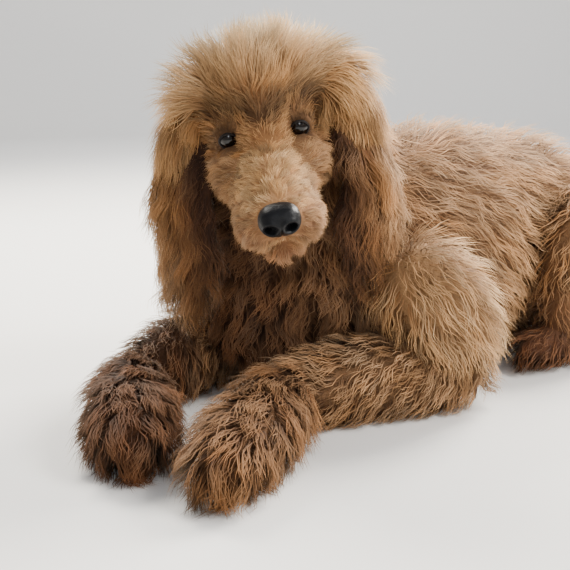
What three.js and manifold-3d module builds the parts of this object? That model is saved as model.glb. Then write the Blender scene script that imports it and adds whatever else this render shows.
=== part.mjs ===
// Standard poodle, life size, lying on its breast with the head up and turned to the viewer.
// Millimetres, +Z up, floor at z = 0. The viewer looks along +Y, the dog's left side is at +X.
import * as THREE from 'three';
import { mergeVertices } from 'three/addons/utils/BufferGeometryUtils.js';
import Module from 'manifold-3d';

const wasm = await Module();
wasm.setup();

// Gap kept between two nodes that touch, and the same gap on each side of a flat parting.
const GAP = 0.3;
const HALF_GAP = GAP / 2;
const SLIVER = 0.08;

// Head: eyes 67 mm apart, 126 mm from the eyes to the tip of the nose.
const HEAD_PLACE = [-20, -62, 280];
const HEAD_PITCH = 21.5;
const HEAD_YAW = 2;
const HEAD_ROLL = -9.3;
const EYE_HALF_SPACING = 33.5;
const EYE_RADIUS = 10.5;
const EYE_DEPTH = 3;
const MOUTH_HEIGHT = -61;

// Trunk: centre line from breast to rump, and half width and half height along it.
const TRUNK_LINE = [
  [12, -6, 126], [75, 55, 130], [150, 135, 130], [235, 225, 126], [325, 300, 122], [405, 358, 114],
];
const TRUNK_SIZES = [[84, 102], [100, 133], [106, 138], [96, 129], [100, 130], [78, 100]];

// Neck: from between the shoulders to the back of the skull.
const NECK_LINE = [[95, 95, 150], [55, 70, 212], [5, 42, 264], [-22, 22, 300]];
const NECK_SIZES = [[94, 90], [88, 84], [74, 74], [62, 64]];

// Hind legs are placed from the pelvis: forward, sideways, up.
const PELVIS = [345, 305, 0];
const HEADING = new THREE.Vector3(-0.74, -0.673, 0);
const SIDEWAYS = new THREE.Vector3(0.673, -0.74, 0);

// Fore legs: shoulder, elbow, wrist and toes.
const FORE_LEGS = {
  left: {
    arm: [[112, -38, 165], [152, -30, 112], [190, -8, 58]],
    forearm: [[204, -2, 40], [100, -44, 38], [-6, -86, 36]],
    paw: [[14, -68, 42], [-14, -140, 34], [-36, -204, 31], [-52, -274, 26]],
  },
  right: {
    arm: [[-22, 34, 165], [-42, 72, 112], [-54, 112, 58]],
    forearm: [[-44, 122, 40], [-102, 30, 38], [-150, -58, 36]],
    paw: [[-146, -34, 42], [-144, -104, 34], [-136, -158, 31], [-126, -218, 26]],
  },
};

// Half widths and half heights of the limbs along their lines, without the clumps. The wrists
// part a little short of the ends of the forearms.
const LIMB_SIZES = {
  arm: [[56, 58], [54, 54], [42, 44]],
  forearm: [[38, 44], [37, 42], [34, 38]],
  paw: [[34, 38], [36, 36], [38, 34], [34, 29]],
  thigh: [[56, 84], [54, 76], [46, 50]],
  shank: [[42, 44], [40, 42], [36, 38]],
  foot: [[30, 38], [30, 32], [34, 31], [30, 24]],
};
const WRIST_BACK = 16;

// Ears hang from the sides of the skull. Sizes are half width and half thickness.
const EARS = {
  left: {
    line: [[48, -10, 300], [76, -34, 258], [84, -50, 202], [82, -60, 154]], out: [0.62, -0.76, 0.1],
  },
  right: {
    line: [[-82, -10, 280], [-105, -36, 240], [-106, -52, 184], [-112, -62, 134]], out: [-0.62, -0.76, 0.1],
  },
};
const EAR_SIZES = [[24, 10], [31, 12], [32, 12], [22, 9]];
// Locks in rows down each ear. Bends give the share of the length, the lift off the ear and
// the share of the sway at each point of a lock.
const EAR_LOCKS = {
  rows: [-0.7, -0.15, 0.4], across: 4, length: 64, sink: 4, sway: 0.16,
  bends: [[0, 0, 0], [0.3, 8, 0], [0.65, 10, 1], [1, 6, 2]],
  sizes: [[12, 5], [13, 5.5], [9, 4], [3, 2]],
};

// The tail curls round on the floor behind the rump.
const TAIL_LINE = [[420, 368, 118], [478, 412, 84], [530, 452, 48], [590, 468, 35], [650, 452, 27]];
const TAIL_SIZES = [[34, 34], [36, 36], [40, 40], [40, 39], [30, 31]];

// Coat: how far the clumps stand out of the core, and how far apart their roots are.
const COAT = {
  trunk: { rise: 25, spacing: 93, sides: 5, rings: 4 },
  neck: { rise: 25, spacing: 78, sides: 5, rings: 4 },
  head: { rise: 29, spacing: 63, sides: 5, rings: 4 },
  arm: { rise: 19, spacing: 74, sides: 5, rings: 4 },
  forearm: { rise: 14, spacing: 66, sides: 5, rings: 4 },
  paw: { rise: 12, spacing: 62, sides: 5, rings: 4 },
  thigh: { rise: 21, spacing: 78, sides: 5, rings: 4 },
  shank: { rise: 14, spacing: 62, sides: 5, rings: 4 },
  foot: { rise: 12, spacing: 60, sides: 5, rings: 4 },
  tail: { rise: 17, spacing: 72, sides: 5, rings: 4 },
};

// Shape of a clump: how deep it is rooted, and how its tip leans, against its own size.
const CLUMP_SINK = 0.5;
const CLUMP_LEAN = 0.2;
const CLUMP_WIDE = 1;
const CLUMP_LONG = 1.08;
const ROW_STEP = 0.92;
// No clump is rooted where the body rests on the floor.
const UNDERSIDE = -0.72;
const LOWEST_ROOT = 8;
// Nor this near the core of another node.
const CREASE = 12;
// The crown of hair ends above the eyes, and behind the cheeks at the sides.
const BROW_HEIGHT = 16;
const FACE_HALF_WIDTH = 66;
const CROWN_LOW = -30;

const UP = new THREE.Vector3(0, 0, 1);
const vec = (point) => new THREE.Vector3(...point);

// Repeatable random numbers from 0 to 1.
function seeded(seed) {
  let state = seed;
  return () => {
    state = (state * 1664525 + 1013904223) % 4294967296;
    return state / 4294967296;
  };
}

// Turns a closed geometry into a solid that can be joined and cut.
function solidOf(geometry) {
  geometry.deleteAttribute('normal');
  geometry.deleteAttribute('uv');
  const merged = mergeVertices(geometry, 1e-3);
  const vertProperties = new Float32Array(merged.attributes.position.array);
  const triVerts = new Uint32Array(merged.index.array);
  return new wasm.Manifold(new wasm.Mesh({ numProp: 3, vertProperties, triVerts }));
}

// A rounded form along a line of points. sizes are half width and half height at even steps
// of the line. blunt 1 gives an ellipsoid, and a smaller number gives blunter ends.
function form(line, sizes, { up = UP, blunt = 0.5, sides = 14, rings = 10 } = {}) {
  const curve = new THREE.CatmullRomCurve3(line.map(vec), false, 'centripetal');
  const profile = new THREE.CatmullRomCurve3(sizes.map(([w, h]) => new THREE.Vector3(w, h, 0)));

  function section(t) {
    const tangent = curve.getTangent(t);
    const rise = up.clone().addScaledVector(tangent, -up.dot(tangent)).normalize();
    const side = tangent.clone().cross(rise);
    const size = profile.getPoint(t);
    return { centre: curve.getPoint(t), tangent, rise, side, width: size.x, height: size.y };
  }

  // along runs from -1 to 1, angle goes round the line from its side.
  function place(along, angle, grow = 0) {
    const s = section((along + 1) / 2);
    const taper = Math.pow(Math.max(0, 1 - along * along), blunt / 2);
    return s.centre
      .addScaledVector(s.side, Math.cos(angle) * taper * (s.width + grow))
      .addScaledVector(s.rise, Math.sin(angle) * taper * (s.height + grow))
      .addScaledVector(s.tangent, along * grow);
  }

  function normal(along, angle) {
    const a = THREE.MathUtils.clamp(along, -0.98, 0.98);
    const step = 0.01;
    const forward = place(a + step, angle).sub(place(a - step, angle));
    const round = place(a, angle + step).sub(place(a, angle - step));
    return Math.abs(along) > 0.985
      ? section((along + 1) / 2).tangent.multiplyScalar(Math.sign(along))
      : forward.cross(round).normalize();
  }

  function holds(point, margin = 0) {
    const steps = 24;
    let best = null;
    for (let i = 0; i <= steps; i += 1) {
      const s = section(i / steps);
      const away = point.clone().sub(s.centre);
      const distance = away.length();
      if (!best || distance < best.distance) best = { s, away, distance, along: (2 * i) / steps - 1 };
    }
    const { s, away, along } = best;
    const taper = Math.pow(Math.max(0.05, 1 - along * along), blunt / 2);
    const x = away.dot(s.side) / (taper * s.width + margin);
    const y = away.dot(s.rise) / (taper * s.height + margin);
    const past = Math.abs(away.dot(s.tangent)) > curve.getLength() / steps + margin;
    return x * x + y * y < 1 && !past;
  }

  function solid(grow = 0) {
    const geometry = new THREE.SphereGeometry(1, sides, rings);
    const position = geometry.attributes.position;
    for (let i = 0; i < position.count; i += 1) {
      const angle = Math.atan2(position.getZ(i), position.getX(i));
      const point = place(THREE.MathUtils.clamp(position.getY(i), -1, 1), angle, grow);
      position.setXYZ(i, point.x, point.y, point.z);
    }
    return solidOf(geometry);
  }

  return { place, normal, holds, solid };
}

// An ellipsoid with half sizes across, along and up.
function egg(centre, [across, along, high], { axis = [0, 1, 0], up = UP, sides = 12, rings = 8 } = {}) {
  const half = vec(axis).normalize().multiplyScalar(along);
  const line = [vec(centre).sub(half).toArray(), vec(centre).add(half).toArray()];
  return form(line, [[across, high], [across, high]], { up, blunt: 1, sides, rings });
}

// Keeps the side of each parting plane that the node is on, and cuts at the floor.
function parted(solid, partings, grow = 0) {
  let kept = solid;
  for (const { point, normal, side } of partings) {
    const toward = vec(normal).normalize().multiplyScalar(side);
    kept = kept.trimByPlane(toward.toArray(), toward.dot(vec(point)) + HALF_GAP - grow * 0.8);
  }
  return kept.trimByPlane([0, 0, 1], 0);
}

function joined(pieces, cuts = []) {
  const whole = pieces.slice(1).reduce((solid, piece) => solid.add(piece), pieces[0]);
  return cuts.reduce((solid, cut) => solid.subtract(cut), whole);
}

// The largest closed surface of a solid, with slivers smoothed away.
function largest(solid) {
  const bodies = solid.decompose();
  bodies.sort((a, b) => b.volume() - a.volume());
  return bodies[0].simplify(SLIVER);
}

// Maps a point of the head, measured from between the eyes with the muzzle along -Y.
const headTurn = new THREE.Matrix4()
  .makeTranslation(...HEAD_PLACE)
  .multiply(new THREE.Matrix4().makeRotationY(THREE.MathUtils.degToRad(HEAD_ROLL)))
  .multiply(new THREE.Matrix4().makeRotationX(THREE.MathUtils.degToRad(HEAD_PITCH)))
  .multiply(new THREE.Matrix4().makeRotationZ(THREE.MathUtils.degToRad(HEAD_YAW)));
const onHead = (x, y, z) => new THREE.Vector3(x, y, z).applyMatrix4(headTurn).toArray();
const headWay = (x, y, z) => new THREE.Vector3(x, y, z).transformDirection(headTurn);
const HEAD_UP = headWay(0, 0, 1);

function headEgg(centre, sizes, more = {}) {
  const axis = headWay(0, 1, 0).toArray();
  return egg(onHead(...centre), sizes, { axis, up: HEAD_UP, ...more });
}

function headForm(line, sizes, more = {}) {
  return form(line.map((point) => onHead(...point)), sizes, { up: HEAD_UP, ...more });
}

// Places a point of the hind quarters.
function onPelvis(forward, side, up) {
  const point = vec(PELVIS).addScaledVector(HEADING, forward).addScaledVector(SIDEWAYS, side);
  return [point.x, point.y, up];
}

// One rounded clump of curls. It is rooted below the surface and its tip leans along the lie.
function clump({ root, normal, lie, wide, long, rise, sides, rings }, grow) {
  const along = lie.clone().addScaledVector(normal, -lie.dot(normal)).normalize();
  const across = normal.clone().cross(along);
  const geometry = new THREE.SphereGeometry(1, sides, rings);
  const position = geometry.attributes.position;
  for (let i = 0; i < position.count; i += 1) {
    const out = position.getY(i);
    const height = out > 0 ? out * (rise + grow) : out * (rise * CLUMP_SINK + grow);
    const forward = position.getZ(i) * (long / 2 + grow) + Math.max(0, out) * long * CLUMP_LEAN;
    const point = root.clone()
      .addScaledVector(across, position.getX(i) * (wide / 2 + grow))
      .addScaledVector(normal, height)
      .addScaledVector(along, forward);
    position.setXYZ(i, point.x, point.y, point.z);
  }
  return solidOf(geometry);
}

// Clumps set close over a core, in rows that are half a step out from each other.
function clumpsOn(core, { rise, spacing, sides, rings }, { seed, lie, grows = () => true }) {
  const draw = seeded(seed);
  const clumps = [];
  const steps = 60;
  const stops = Array.from({ length: steps + 1 }, (_, i) => -Math.cos((Math.PI * i) / steps));
  const ringLength = (along) => {
    const ring = Array.from({ length: 17 }, (_, i) => core.place(along, (Math.PI * i) / 8));
    return ring.slice(1).reduce((sum, point, i) => sum + point.distanceTo(ring[i]), 0);
  };
  const lengths = [0];
  for (let i = 1; i <= steps; i += 1) {
    const step = (angle) => core.place(stops[i], angle).distanceTo(core.place(stops[i - 1], angle));
    lengths.push(lengths[i - 1] + (step(0) + step(Math.PI / 2) + step(Math.PI)) / 3);
  }
  const rows = Math.round(lengths[steps] / (spacing * ROW_STEP));
  for (let row = 0; row <= rows; row += 1) {
    const far = (lengths[steps] * row) / rows;
    const after = Math.max(1, lengths.findIndex((length) => length >= far));
    const part = (far - lengths[after - 1]) / (lengths[after] - lengths[after - 1]);
    const along = stops[after - 1] + part * (stops[after] - stops[after - 1]);
    const count = Math.max(1, Math.round(ringLength(along) / spacing));
    for (let i = 0; i < count; i += 1) {
      const angle = (2 * Math.PI * (i + (row % 2) / 2 + 0.3 * (draw() - 0.5))) / count;
      const size = 0.88 + 0.24 * draw();
      const root = core.place(along, angle);
      const normal = core.normal(along, angle);
      if (normal.z < UNDERSIDE || root.z < LOWEST_ROOT || !grows(root, normal)) continue;
      clumps.push({ root, normal, lie: lie(root), wide: spacing * CLUMP_WIDE * size,
        long: spacing * CLUMP_LONG * size, rise: rise * size, sides, rings });
    }
  }
  return clumps;
}

// A core with its clumps, at its own size or grown by a gap.
const coated = (core, coat, more) => {
  const clumps = clumpsOn(core, coat, more);
  return (grow) => [core.solid(grow), ...clumps.map((each) => clump(each, grow))];
};

// Nodes are made in this order, and each is cut clear of those made before it.
const group = new THREE.Group();
const made = [];

function overlaps(a, b) {
  return [0, 1, 2].every((i) => a.min[i] < b.max[i] && b.min[i] < a.max[i]);
}

function addNode(name, look, pieces, { partings = [], cuts = () => [] } = {}) {
  let solid = parted(joined(pieces(0), cuts(0)), partings);
  for (const other of made) {
    if (overlaps(solid.boundingBox(), other.box)) solid = solid.subtract(other.grown);
  }
  solid = largest(solid);
  const grown = parted(joined(pieces(GAP), cuts(-GAP)), partings, GAP);
  made.push({ name, grown, box: grown.boundingBox() });
  const { vertProperties, triVerts } = solid.getMesh();
  const geometry = new THREE.BufferGeometry();
  geometry.setAttribute('position', new THREE.BufferAttribute(new Float32Array(vertProperties), 3));
  geometry.setIndex(new THREE.BufferAttribute(new Uint32Array(triVerts), 1));
  geometry.computeVertexNormals();
  const mesh = new THREE.Mesh(geometry, look);
  mesh.name = name;
  group.add(mesh);
}

const fur = (colour) => new THREE.MeshStandardMaterial({ color: colour, roughness: 0.95, metalness: 0 });
const BODY_FUR = fur('#96693f');
const FACE_FUR = fur('#b98558');
const CROWN_FUR = fur('#a87a4c');
const LEG_FUR = fur('#7f5430');
const EAR_FUR = fur('#7a4a2a');
const EYE_GLOSS = new THREE.MeshStandardMaterial({ color: '#120b08', roughness: 0.05, metalness: 0 });
const NOSE_SKIN = new THREE.MeshStandardMaterial({ color: '#16161a', roughness: 0.35, metalness: 0 });

// Flat partings, with the normal pointing to the second of the two nodes. The head fits over
// the end of the neck.
const NECK_TO_HEAD = { point: onHead(0, 84, 0), normal: headWay(0, -0.97, 0.25).toArray() };
const HEAD_TO_JAW = { point: onHead(0, 0, MOUTH_HEIGHT), normal: headWay(0, -0.06, -1).toArray() };
const first = (parting) => ({ ...parting, side: -1 });
const second = (parting) => ({ ...parting, side: 1 });

// Cores of the coated nodes: the body under the coat and the lower half of the hair.
const cores = {
  torso: form(TRUNK_LINE, TRUNK_SIZES, { sides: 16, rings: 12 }),
  neck: form(NECK_LINE, NECK_SIZES, { sides: 14, rings: 9 }),
  crown: headEgg([3, 62, 8], [83, 68, 53], { sides: 12, rings: 8 }),
  skull: headEgg([0, 60, 0], [60, 80, 42], { sides: 12, rings: 8 }),
  throat: headEgg([0, 62, -32], [52, 56, 44], { sides: 8, rings: 6 }),
  tail: form(TAIL_LINE, TAIL_SIZES, { sides: 9, rings: 9 }),
};
const limbs = [];
function limb(name, line, sizes, coat, partings) {
  cores[name] = form(line, sizes, { sides: 10, rings: 7 });
  limbs.push({ name, line, coat, partings });
}

for (const [hand, leg] of Object.entries(FORE_LEGS)) {
  const wrist = vec(leg.forearm[2]);
  const reach = vec(leg.forearm[2]).sub(vec(leg.forearm[0])).normalize();
  const tread = vec(leg.paw[3]).sub(vec(leg.paw[0])).normalize();
  const wristCut = {
    point: wrist.addScaledVector(reach, -WRIST_BACK).toArray(), normal: tread.add(reach).toArray(),
  };
  limb(`upper_arm_${hand}`, leg.arm, LIMB_SIZES.arm, COAT.arm, []);
  limb(`forearm_${hand}`, leg.forearm, LIMB_SIZES.forearm, COAT.forearm, [first(wristCut)]);
  limb(`forepaw_${hand}`, leg.paw, LIMB_SIZES.paw, COAT.paw, [second(wristCut)]);
}

// Each hind leg is folded beside the belly: hip, stifle, hock and toes.
for (const [hand, way] of Object.entries({ left: 1, right: -1 })) {
  const thigh = [onPelvis(-20, way * 58, 156), onPelvis(66, way * 94, 132), onPelvis(146, way * 112, 98)];
  const shank = [onPelvis(160, way * 114, 86), onPelvis(70, way * 114, 68), onPelvis(-26, way * 106, 50)];
  const foot = [onPelvis(-24, way * 104, 40), onPelvis(60, way * 108, 30), onPelvis(130, way * 110, 30),
    onPelvis(206, way * 108, 24)];
  const kneeCut = { point: onPelvis(66, way * 114, 80), normal: [HEADING.x * 0.25, HEADING.y * 0.25, -1] };
  const hockCut = { point: onPelvis(0, way * 104, 56), normal: [HEADING.x * 0.4, HEADING.y * 0.4, -1] };
  limb(`thigh_${hand}`, thigh, LIMB_SIZES.thigh, COAT.thigh, [first(kneeCut)]);
  limb(`shank_${hand}`, shank, LIMB_SIZES.shank, COAT.shank, [second(kneeCut), first(hockCut)]);
  limb(`hind_foot_${hand}`, foot, LIMB_SIZES.foot, COAT.foot, [second(hockCut)]);
}

// True where a root lies outside the cores of all other nodes.
const outsideOthers = (...own) => (root) => Object.entries(cores)
  .every(([name, core]) => own.includes(name) || !core.holds(root, CREASE));

for (const [hand, way] of Object.entries({ left: 1, right: -1 })) {
  const ball = headEgg(
    [way * EYE_HALF_SPACING, EYE_DEPTH, 0], Array(3).fill(EYE_RADIUS), { sides: 10, rings: 8 });
  addNode(`eye_${hand}`, EYE_GLOSS, (grow) => [ball.solid(grow)]);
}

// The nose pad, with an open nostril, a slit at its side and the furrow between them.
const nosePad = headEgg([0, -105, -35], [19, 16, 15], { sides: 12, rings: 9 });
const nostrils = [1, -1].flatMap((way) => [
  headEgg([way * 7.5, -119, -37], [3.6, 6, 3.2], { sides: 6, rings: 5 }),
  headEgg([way * 13, -114, -40], [4.6, 5, 1.6], { sides: 6, rings: 4 }),
]);
const philtrum = headEgg([0, -121, -45], [0.9, 6, 9], { sides: 6, rings: 5 });
addNode('nose', NOSE_SKIN, (grow) => [nosePad.solid(grow)], {
  cuts: (grow) => (grow < 0 ? [] : [...nostrils, philtrum].map((hole) => hole.solid())),
});

const trunkLie = () => new THREE.Vector3(0.62, 0.56, -0.45);
addNode('torso', BODY_FUR,
  coated(cores.torso, COAT.trunk, { seed: 11, lie: trunkLie, grows: outsideOthers('torso') }));

const neckLie = () => new THREE.Vector3(0.5, 0.2, -0.8);
addNode('neck', BODY_FUR,
  coated(cores.neck, COAT.neck, { seed: 12, lie: neckLie, grows: outsideOthers('neck') }),
  { partings: [first(NECK_TO_HEAD)] });

// Head: skull, cheeks, bridge of the muzzle and upper lips, with the crown of long hair.
const bridge = headForm([[0, 20, -24], [0, -30, -30], [0, -75, -37], [0, -112, -41]],
  [[36, 28], [31, 29], [29, 27], [25, 23]], { sides: 12, rings: 9 });
const cheeks = [1, -1].map((way) => headEgg([way * 33, 24, -30], [25, 40, 31], { sides: 8, rings: 7 }));
const flews = [1, -1].map((way) => headEgg([way * 19, -70, -50], [21, 40, 19], { sides: 8, rings: 7 }));
const lidOpenings = [1, -1].map((way) => headEgg(
  [way * EYE_HALF_SPACING, -8, 0], [9.8, 9, 9.2], { sides: 8, rings: 6 }));

// An upper and a lower lid round each eye, as ridges along its opening.
const LID = { across: 10, high: 9.2, front: -4.6, thick: 2.2 };
function lid(way, from) {
  const points = Array.from({ length: 6 }, (_, i) => {
    const angle = from + (Math.PI * (i - 0.5)) / 4;
    return [way * EYE_HALF_SPACING + LID.across * Math.cos(angle), LID.front, LID.high * Math.sin(angle)];
  });
  return form(points.map((point) => onHead(...point)), [[LID.thick, LID.thick], [LID.thick, LID.thick]],
    { up: headWay(0, -1, 0), sides: 5, rings: 7 });
}
const lids = [1, -1].flatMap((way) => [lid(way, 0), lid(way, Math.PI)]);

// The upper lips, as a rim on each side along the line of the mouth.
const upperLips = [1, -1].map((way) => headForm(
  [[way * 30, -8, -58], [way * 30, -50, -60], [way * 24, -92, -60], [way * 8, -110, -57],
    [way * 2, -112, -54]],
  [[3.5, 4.5], [4, 5], [3, 4]], { sides: 5, rings: 7 }));
const crownRoot = vec(onHead(0, -20, 34));
const crownLie = (root) => root.clone().sub(crownRoot).add(headWay(0, 30, -24));
const onCrown = (root) => {
  const point = root.clone().applyMatrix4(headTurn.clone().invert());
  return point.z > BROW_HEIGHT || (Math.abs(point.x) > FACE_HALF_WIDTH && point.z > CROWN_LOW)
    || (point.y > 60 && point.z > CROWN_LOW);
};
const crownCoat = coated(cores.crown, COAT.head, { seed: 13, lie: crownLie,
  grows: (root) => onCrown(root) && outsideOthers('crown', 'skull', 'throat', 'neck')(root) });
const face = [cores.skull, cores.throat, bridge, ...cheeks, ...flews, ...upperLips, ...lids];
addNode('head', FACE_FUR, (grow) => [...crownCoat(grow), ...face.map((piece) => piece.solid(grow))], {
  partings: [first(HEAD_TO_JAW)],
  cuts: (grow) => lidOpenings.map((opening) => opening.solid(grow)),
});

// The lower jaw, with its lip and a small tuft under the chin.
const jaw = headForm([[0, 62, -62], [0, 0, -69], [0, -60, -72], [0, -98, -73]],
  [[44, 26], [35, 20], [27, 15], [21, 14]], { sides: 12, rings: 10 });
const lowerLip = headForm([[24, -20, -64], [25, -62, -66], [16, -98, -67], [0, -108, -67],
  [-16, -98, -67], [-25, -62, -66], [-24, -20, -64]], [[3, 3], [3, 3]], { sides: 6, rings: 14 });
addNode('lower_jaw', FACE_FUR, (grow) => [jaw.solid(grow), lowerLip.solid(grow)],
  { partings: [second(HEAD_TO_JAW)] });

limbs.forEach(({ name, line, coat, partings }, i) => {
  const down = vec(line[line.length - 1]).sub(vec(line[0])).normalize();
  const legLie = () => down.clone().add(new THREE.Vector3(0, 0, -0.35));
  const grows = outsideOthers(name);
  addNode(name, LEG_FUR, coated(cores[name], coat, { seed: 20 + i, lie: legLie, grows }), { partings });
});

// Each ear is a flap with its cup on the inner face, and long flat locks down its outer face.
for (const [i, [hand, { line, out }]] of Object.entries(EARS).entries()) {
  const outward = vec(out).normalize();
  const inner = line.map((point) => vec(point).addScaledVector(outward, -15).toArray());
  const flap = form(line, EAR_SIZES, { up: outward, sides: 9, rings: 7 });
  const cup = form(inner, [[10, 6], [20, 11], [22, 11], [12, 7]], { up: outward, sides: 7, rings: 6 });
  const draw = seeded(50 + i);
  const locks = [];
  const { rows, across, sizes } = EAR_LOCKS;
  for (const [row, along] of rows.entries()) {
    for (let k = 0; k < across; k += 1) {
      const angle = (Math.PI * (k + (row % 2 ? 0.75 : 0.25))) / across;
      const root = flap.place(along, angle, -EAR_LOCKS.sink);
      const normal = flap.normal(along, angle);
      const length = EAR_LOCKS.length * (0.85 + 0.3 * draw());
      const sway = EAR_LOCKS.sway * (draw() - 0.5);
      const bend = ([share, lift, swing]) => root.clone()
        .addScaledVector(UP, -length * share)
        .addScaledVector(normal, lift)
        .addScaledVector(outward.clone().cross(UP), length * sway * swing)
        .toArray();
      locks.push(form(EAR_LOCKS.bends.map(bend), sizes, { up: normal, sides: 4, rings: 5 }));
    }
  }
  addNode(`ear_${hand}`, EAR_FUR, (grow) => [flap, ...locks].map((piece) => piece.solid(grow)),
    { cuts: (grow) => [cup.solid(grow)] });
}

const tailWay = vec(TAIL_LINE[4]).sub(vec(TAIL_LINE[0])).normalize();
addNode('tail', BODY_FUR,
  coated(cores.tail, COAT.tail, { seed: 60, lie: () => tailWay.clone(), grows: outsideOthers('tail') }));

// The origin is on the floor, at the middle of the whole outline.
const outline = new THREE.Box3().setFromObject(group);
const middle = outline.getCenter(new THREE.Vector3());
group.position.set(-middle.x, -middle.y, -outline.min.z);

export default group;
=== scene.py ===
"""Standard poodle, life size, lying on its breast with the head up: skin, eyes, nose and coat.

Sizes are millimetres in the dog's own layout, where the viewer looks along +Y and the dog's
left side is at +X. to_frame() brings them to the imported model's metres.
"""
import math

import bpy
import numpy as np
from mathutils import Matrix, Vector
from mathutils.kdtree import KDTree


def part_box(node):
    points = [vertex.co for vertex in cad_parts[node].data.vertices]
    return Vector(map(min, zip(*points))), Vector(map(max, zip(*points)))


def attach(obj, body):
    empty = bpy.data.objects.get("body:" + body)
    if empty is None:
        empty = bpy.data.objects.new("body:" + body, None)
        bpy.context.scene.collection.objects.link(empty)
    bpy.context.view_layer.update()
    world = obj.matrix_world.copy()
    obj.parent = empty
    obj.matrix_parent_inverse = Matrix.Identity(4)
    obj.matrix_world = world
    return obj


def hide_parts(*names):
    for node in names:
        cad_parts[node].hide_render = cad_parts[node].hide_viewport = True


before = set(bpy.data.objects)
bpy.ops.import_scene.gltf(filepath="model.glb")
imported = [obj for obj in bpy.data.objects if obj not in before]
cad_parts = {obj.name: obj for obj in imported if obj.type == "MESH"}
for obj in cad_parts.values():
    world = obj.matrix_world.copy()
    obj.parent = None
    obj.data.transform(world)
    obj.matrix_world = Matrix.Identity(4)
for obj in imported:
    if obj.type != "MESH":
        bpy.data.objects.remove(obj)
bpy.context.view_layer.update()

bl_info = {
    "name": "Standard Poodle",
    "version": (1, 0, 0),
    "blender": (4, 5, 0),
    "location": "View3D > Sidebar > Poodle",
    "description": "Builds the skin, eyes, nose and coat of a life-size lying poodle",
    "category": "Object",
}

MM = 0.001
UP = (0, 0, 1)
BACK = (0, 1, 0)
SIDES = (("left", 1), ("right", -1))

# Head: the point between the eyes, and how far it is pitched down, turned and tilted.
HEAD_PLACE = np.array([-20.0, -62.0, 280.0])
HEAD_PITCH, HEAD_YAW, HEAD_ROLL = 21.5, 2.0, -9.3
EYE_HALF_SPACING = 33.5
EYE_DEPTH = 3.0
EYE_RADIUS = 10.5
NOSE_PLACE = np.array([0, -105.0, -35.0])
MOUTH_LINE = [[30, -8, -60], [29, -50, -62], [23, -90, -62], [10, -106, -60], [0, -110, -59]]

# Camera, measured from between the eyes, and its downward tilt in degrees.
CAMERA_OFFSET = (20.0, -940.8, 54.0)
CAMERA_TILT = 12.0
CAMERA_LENS = 63.16

# Studio lights: name, place, target, size, power and colour.
LIGHTS = (
    ("window_key", (1.35, -0.75, 1.75), (-0.2, -0.1, 0.2), 0.8, 62, (1.0, 0.97, 0.93)),
    ("soft_fill", (-0.12, -1.75, 1.35), (-0.05, -0.1, 0.2), 0.42, 6.5, (0.95, 0.97, 1.0)),
    ("backdrop_light", (0.0, 2.4, 2.4), (0.0, 6.0, 0.9), 2.5, 110, (1.0, 1.0, 1.0)),
    ("rim_left", (-1.0, 1.3, 1.7), (-0.2, 0.0, 0.3), 0.9, 120, (1.0, 0.95, 0.86)),
    ("rim_right", (1.1, 1.1, 1.5), (-0.1, 0.0, 0.25), 0.9, 150, (1.0, 0.95, 0.86)),
)


def turn(axis, degrees):
    """A 3 by 3 turn about axis 0, 1 or 2."""
    a, b = [(1, 2), (2, 0), (0, 1)][axis]
    matrix = np.eye(3)
    c, s = math.cos(math.radians(degrees)), math.sin(math.radians(degrees))
    matrix[a, a], matrix[a, b], matrix[b, a], matrix[b, b] = c, -s, s, c
    return matrix


HEAD_TURN = turn(1, HEAD_ROLL) @ turn(0, HEAD_PITCH) @ turn(2, HEAD_YAW)


def on_head(points):
    """From the head's own axes (x left, -y along the muzzle, z up) to the dog's layout."""
    return HEAD_PLACE + np.asarray(points, float) @ HEAD_TURN.T


def in_head(points):
    return (np.asarray(points, float) - HEAD_PLACE) @ HEAD_TURN


def head_way(direction):
    return np.asarray(direction, float) @ HEAD_TURN.T


def eye_centre(way):
    """Middle of an eyeball on the head's axes; way is 1 for the left eye, -1 for the right."""
    return np.array([way * EYE_HALF_SPACING, EYE_DEPTH, 0.0])


def eye_middle():
    """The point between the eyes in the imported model, in metres."""
    corners = [np.array(c) for side in ("left", "right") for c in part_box(f"eye_{side}")]
    return sum(corners) / 4


SHIFT = eye_middle() / MM - on_head([0, EYE_DEPTH, 0])


def to_frame(points):
    return (np.asarray(points, float) + SHIFT) * MM


def to_layout(points):
    return np.asarray(points, float) / MM - SHIFT


def unit(vectors):
    vectors = np.asarray(vectors, float)
    return vectors / np.maximum(np.linalg.norm(vectors, axis=-1, keepdims=True), 1e-9)


def ramp(values, start, end):
    """0 at the start and before it, 1 at the end and past it."""
    return np.clip((values - start) / (end - start), 0, 1)


def mixed(old, new, share):
    return old * (1 - share) + share * new


def smooth_line(points, count=49):
    """Points along a smooth curve through the given ones."""
    p = np.asarray(points, float)
    wide = np.vstack([2 * p[0] - p[1], p, 2 * p[-1] - p[-2]])
    t = np.linspace(0, len(p) - 1, count)
    i = np.minimum(t.astype(int), len(p) - 2)
    f = (t - i)[:, None]
    a, b, c, d = wide[i], wide[i + 1], wide[i + 2], wide[i + 3]
    return 0.5 * (2 * b + (c - a) * f + (2 * a - 5 * b + 4 * c - d) * f ** 2
                  + (3 * b - a - 3 * c + d) * f ** 3)


# ---------------------------------------------------------------- forms of the body

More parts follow.
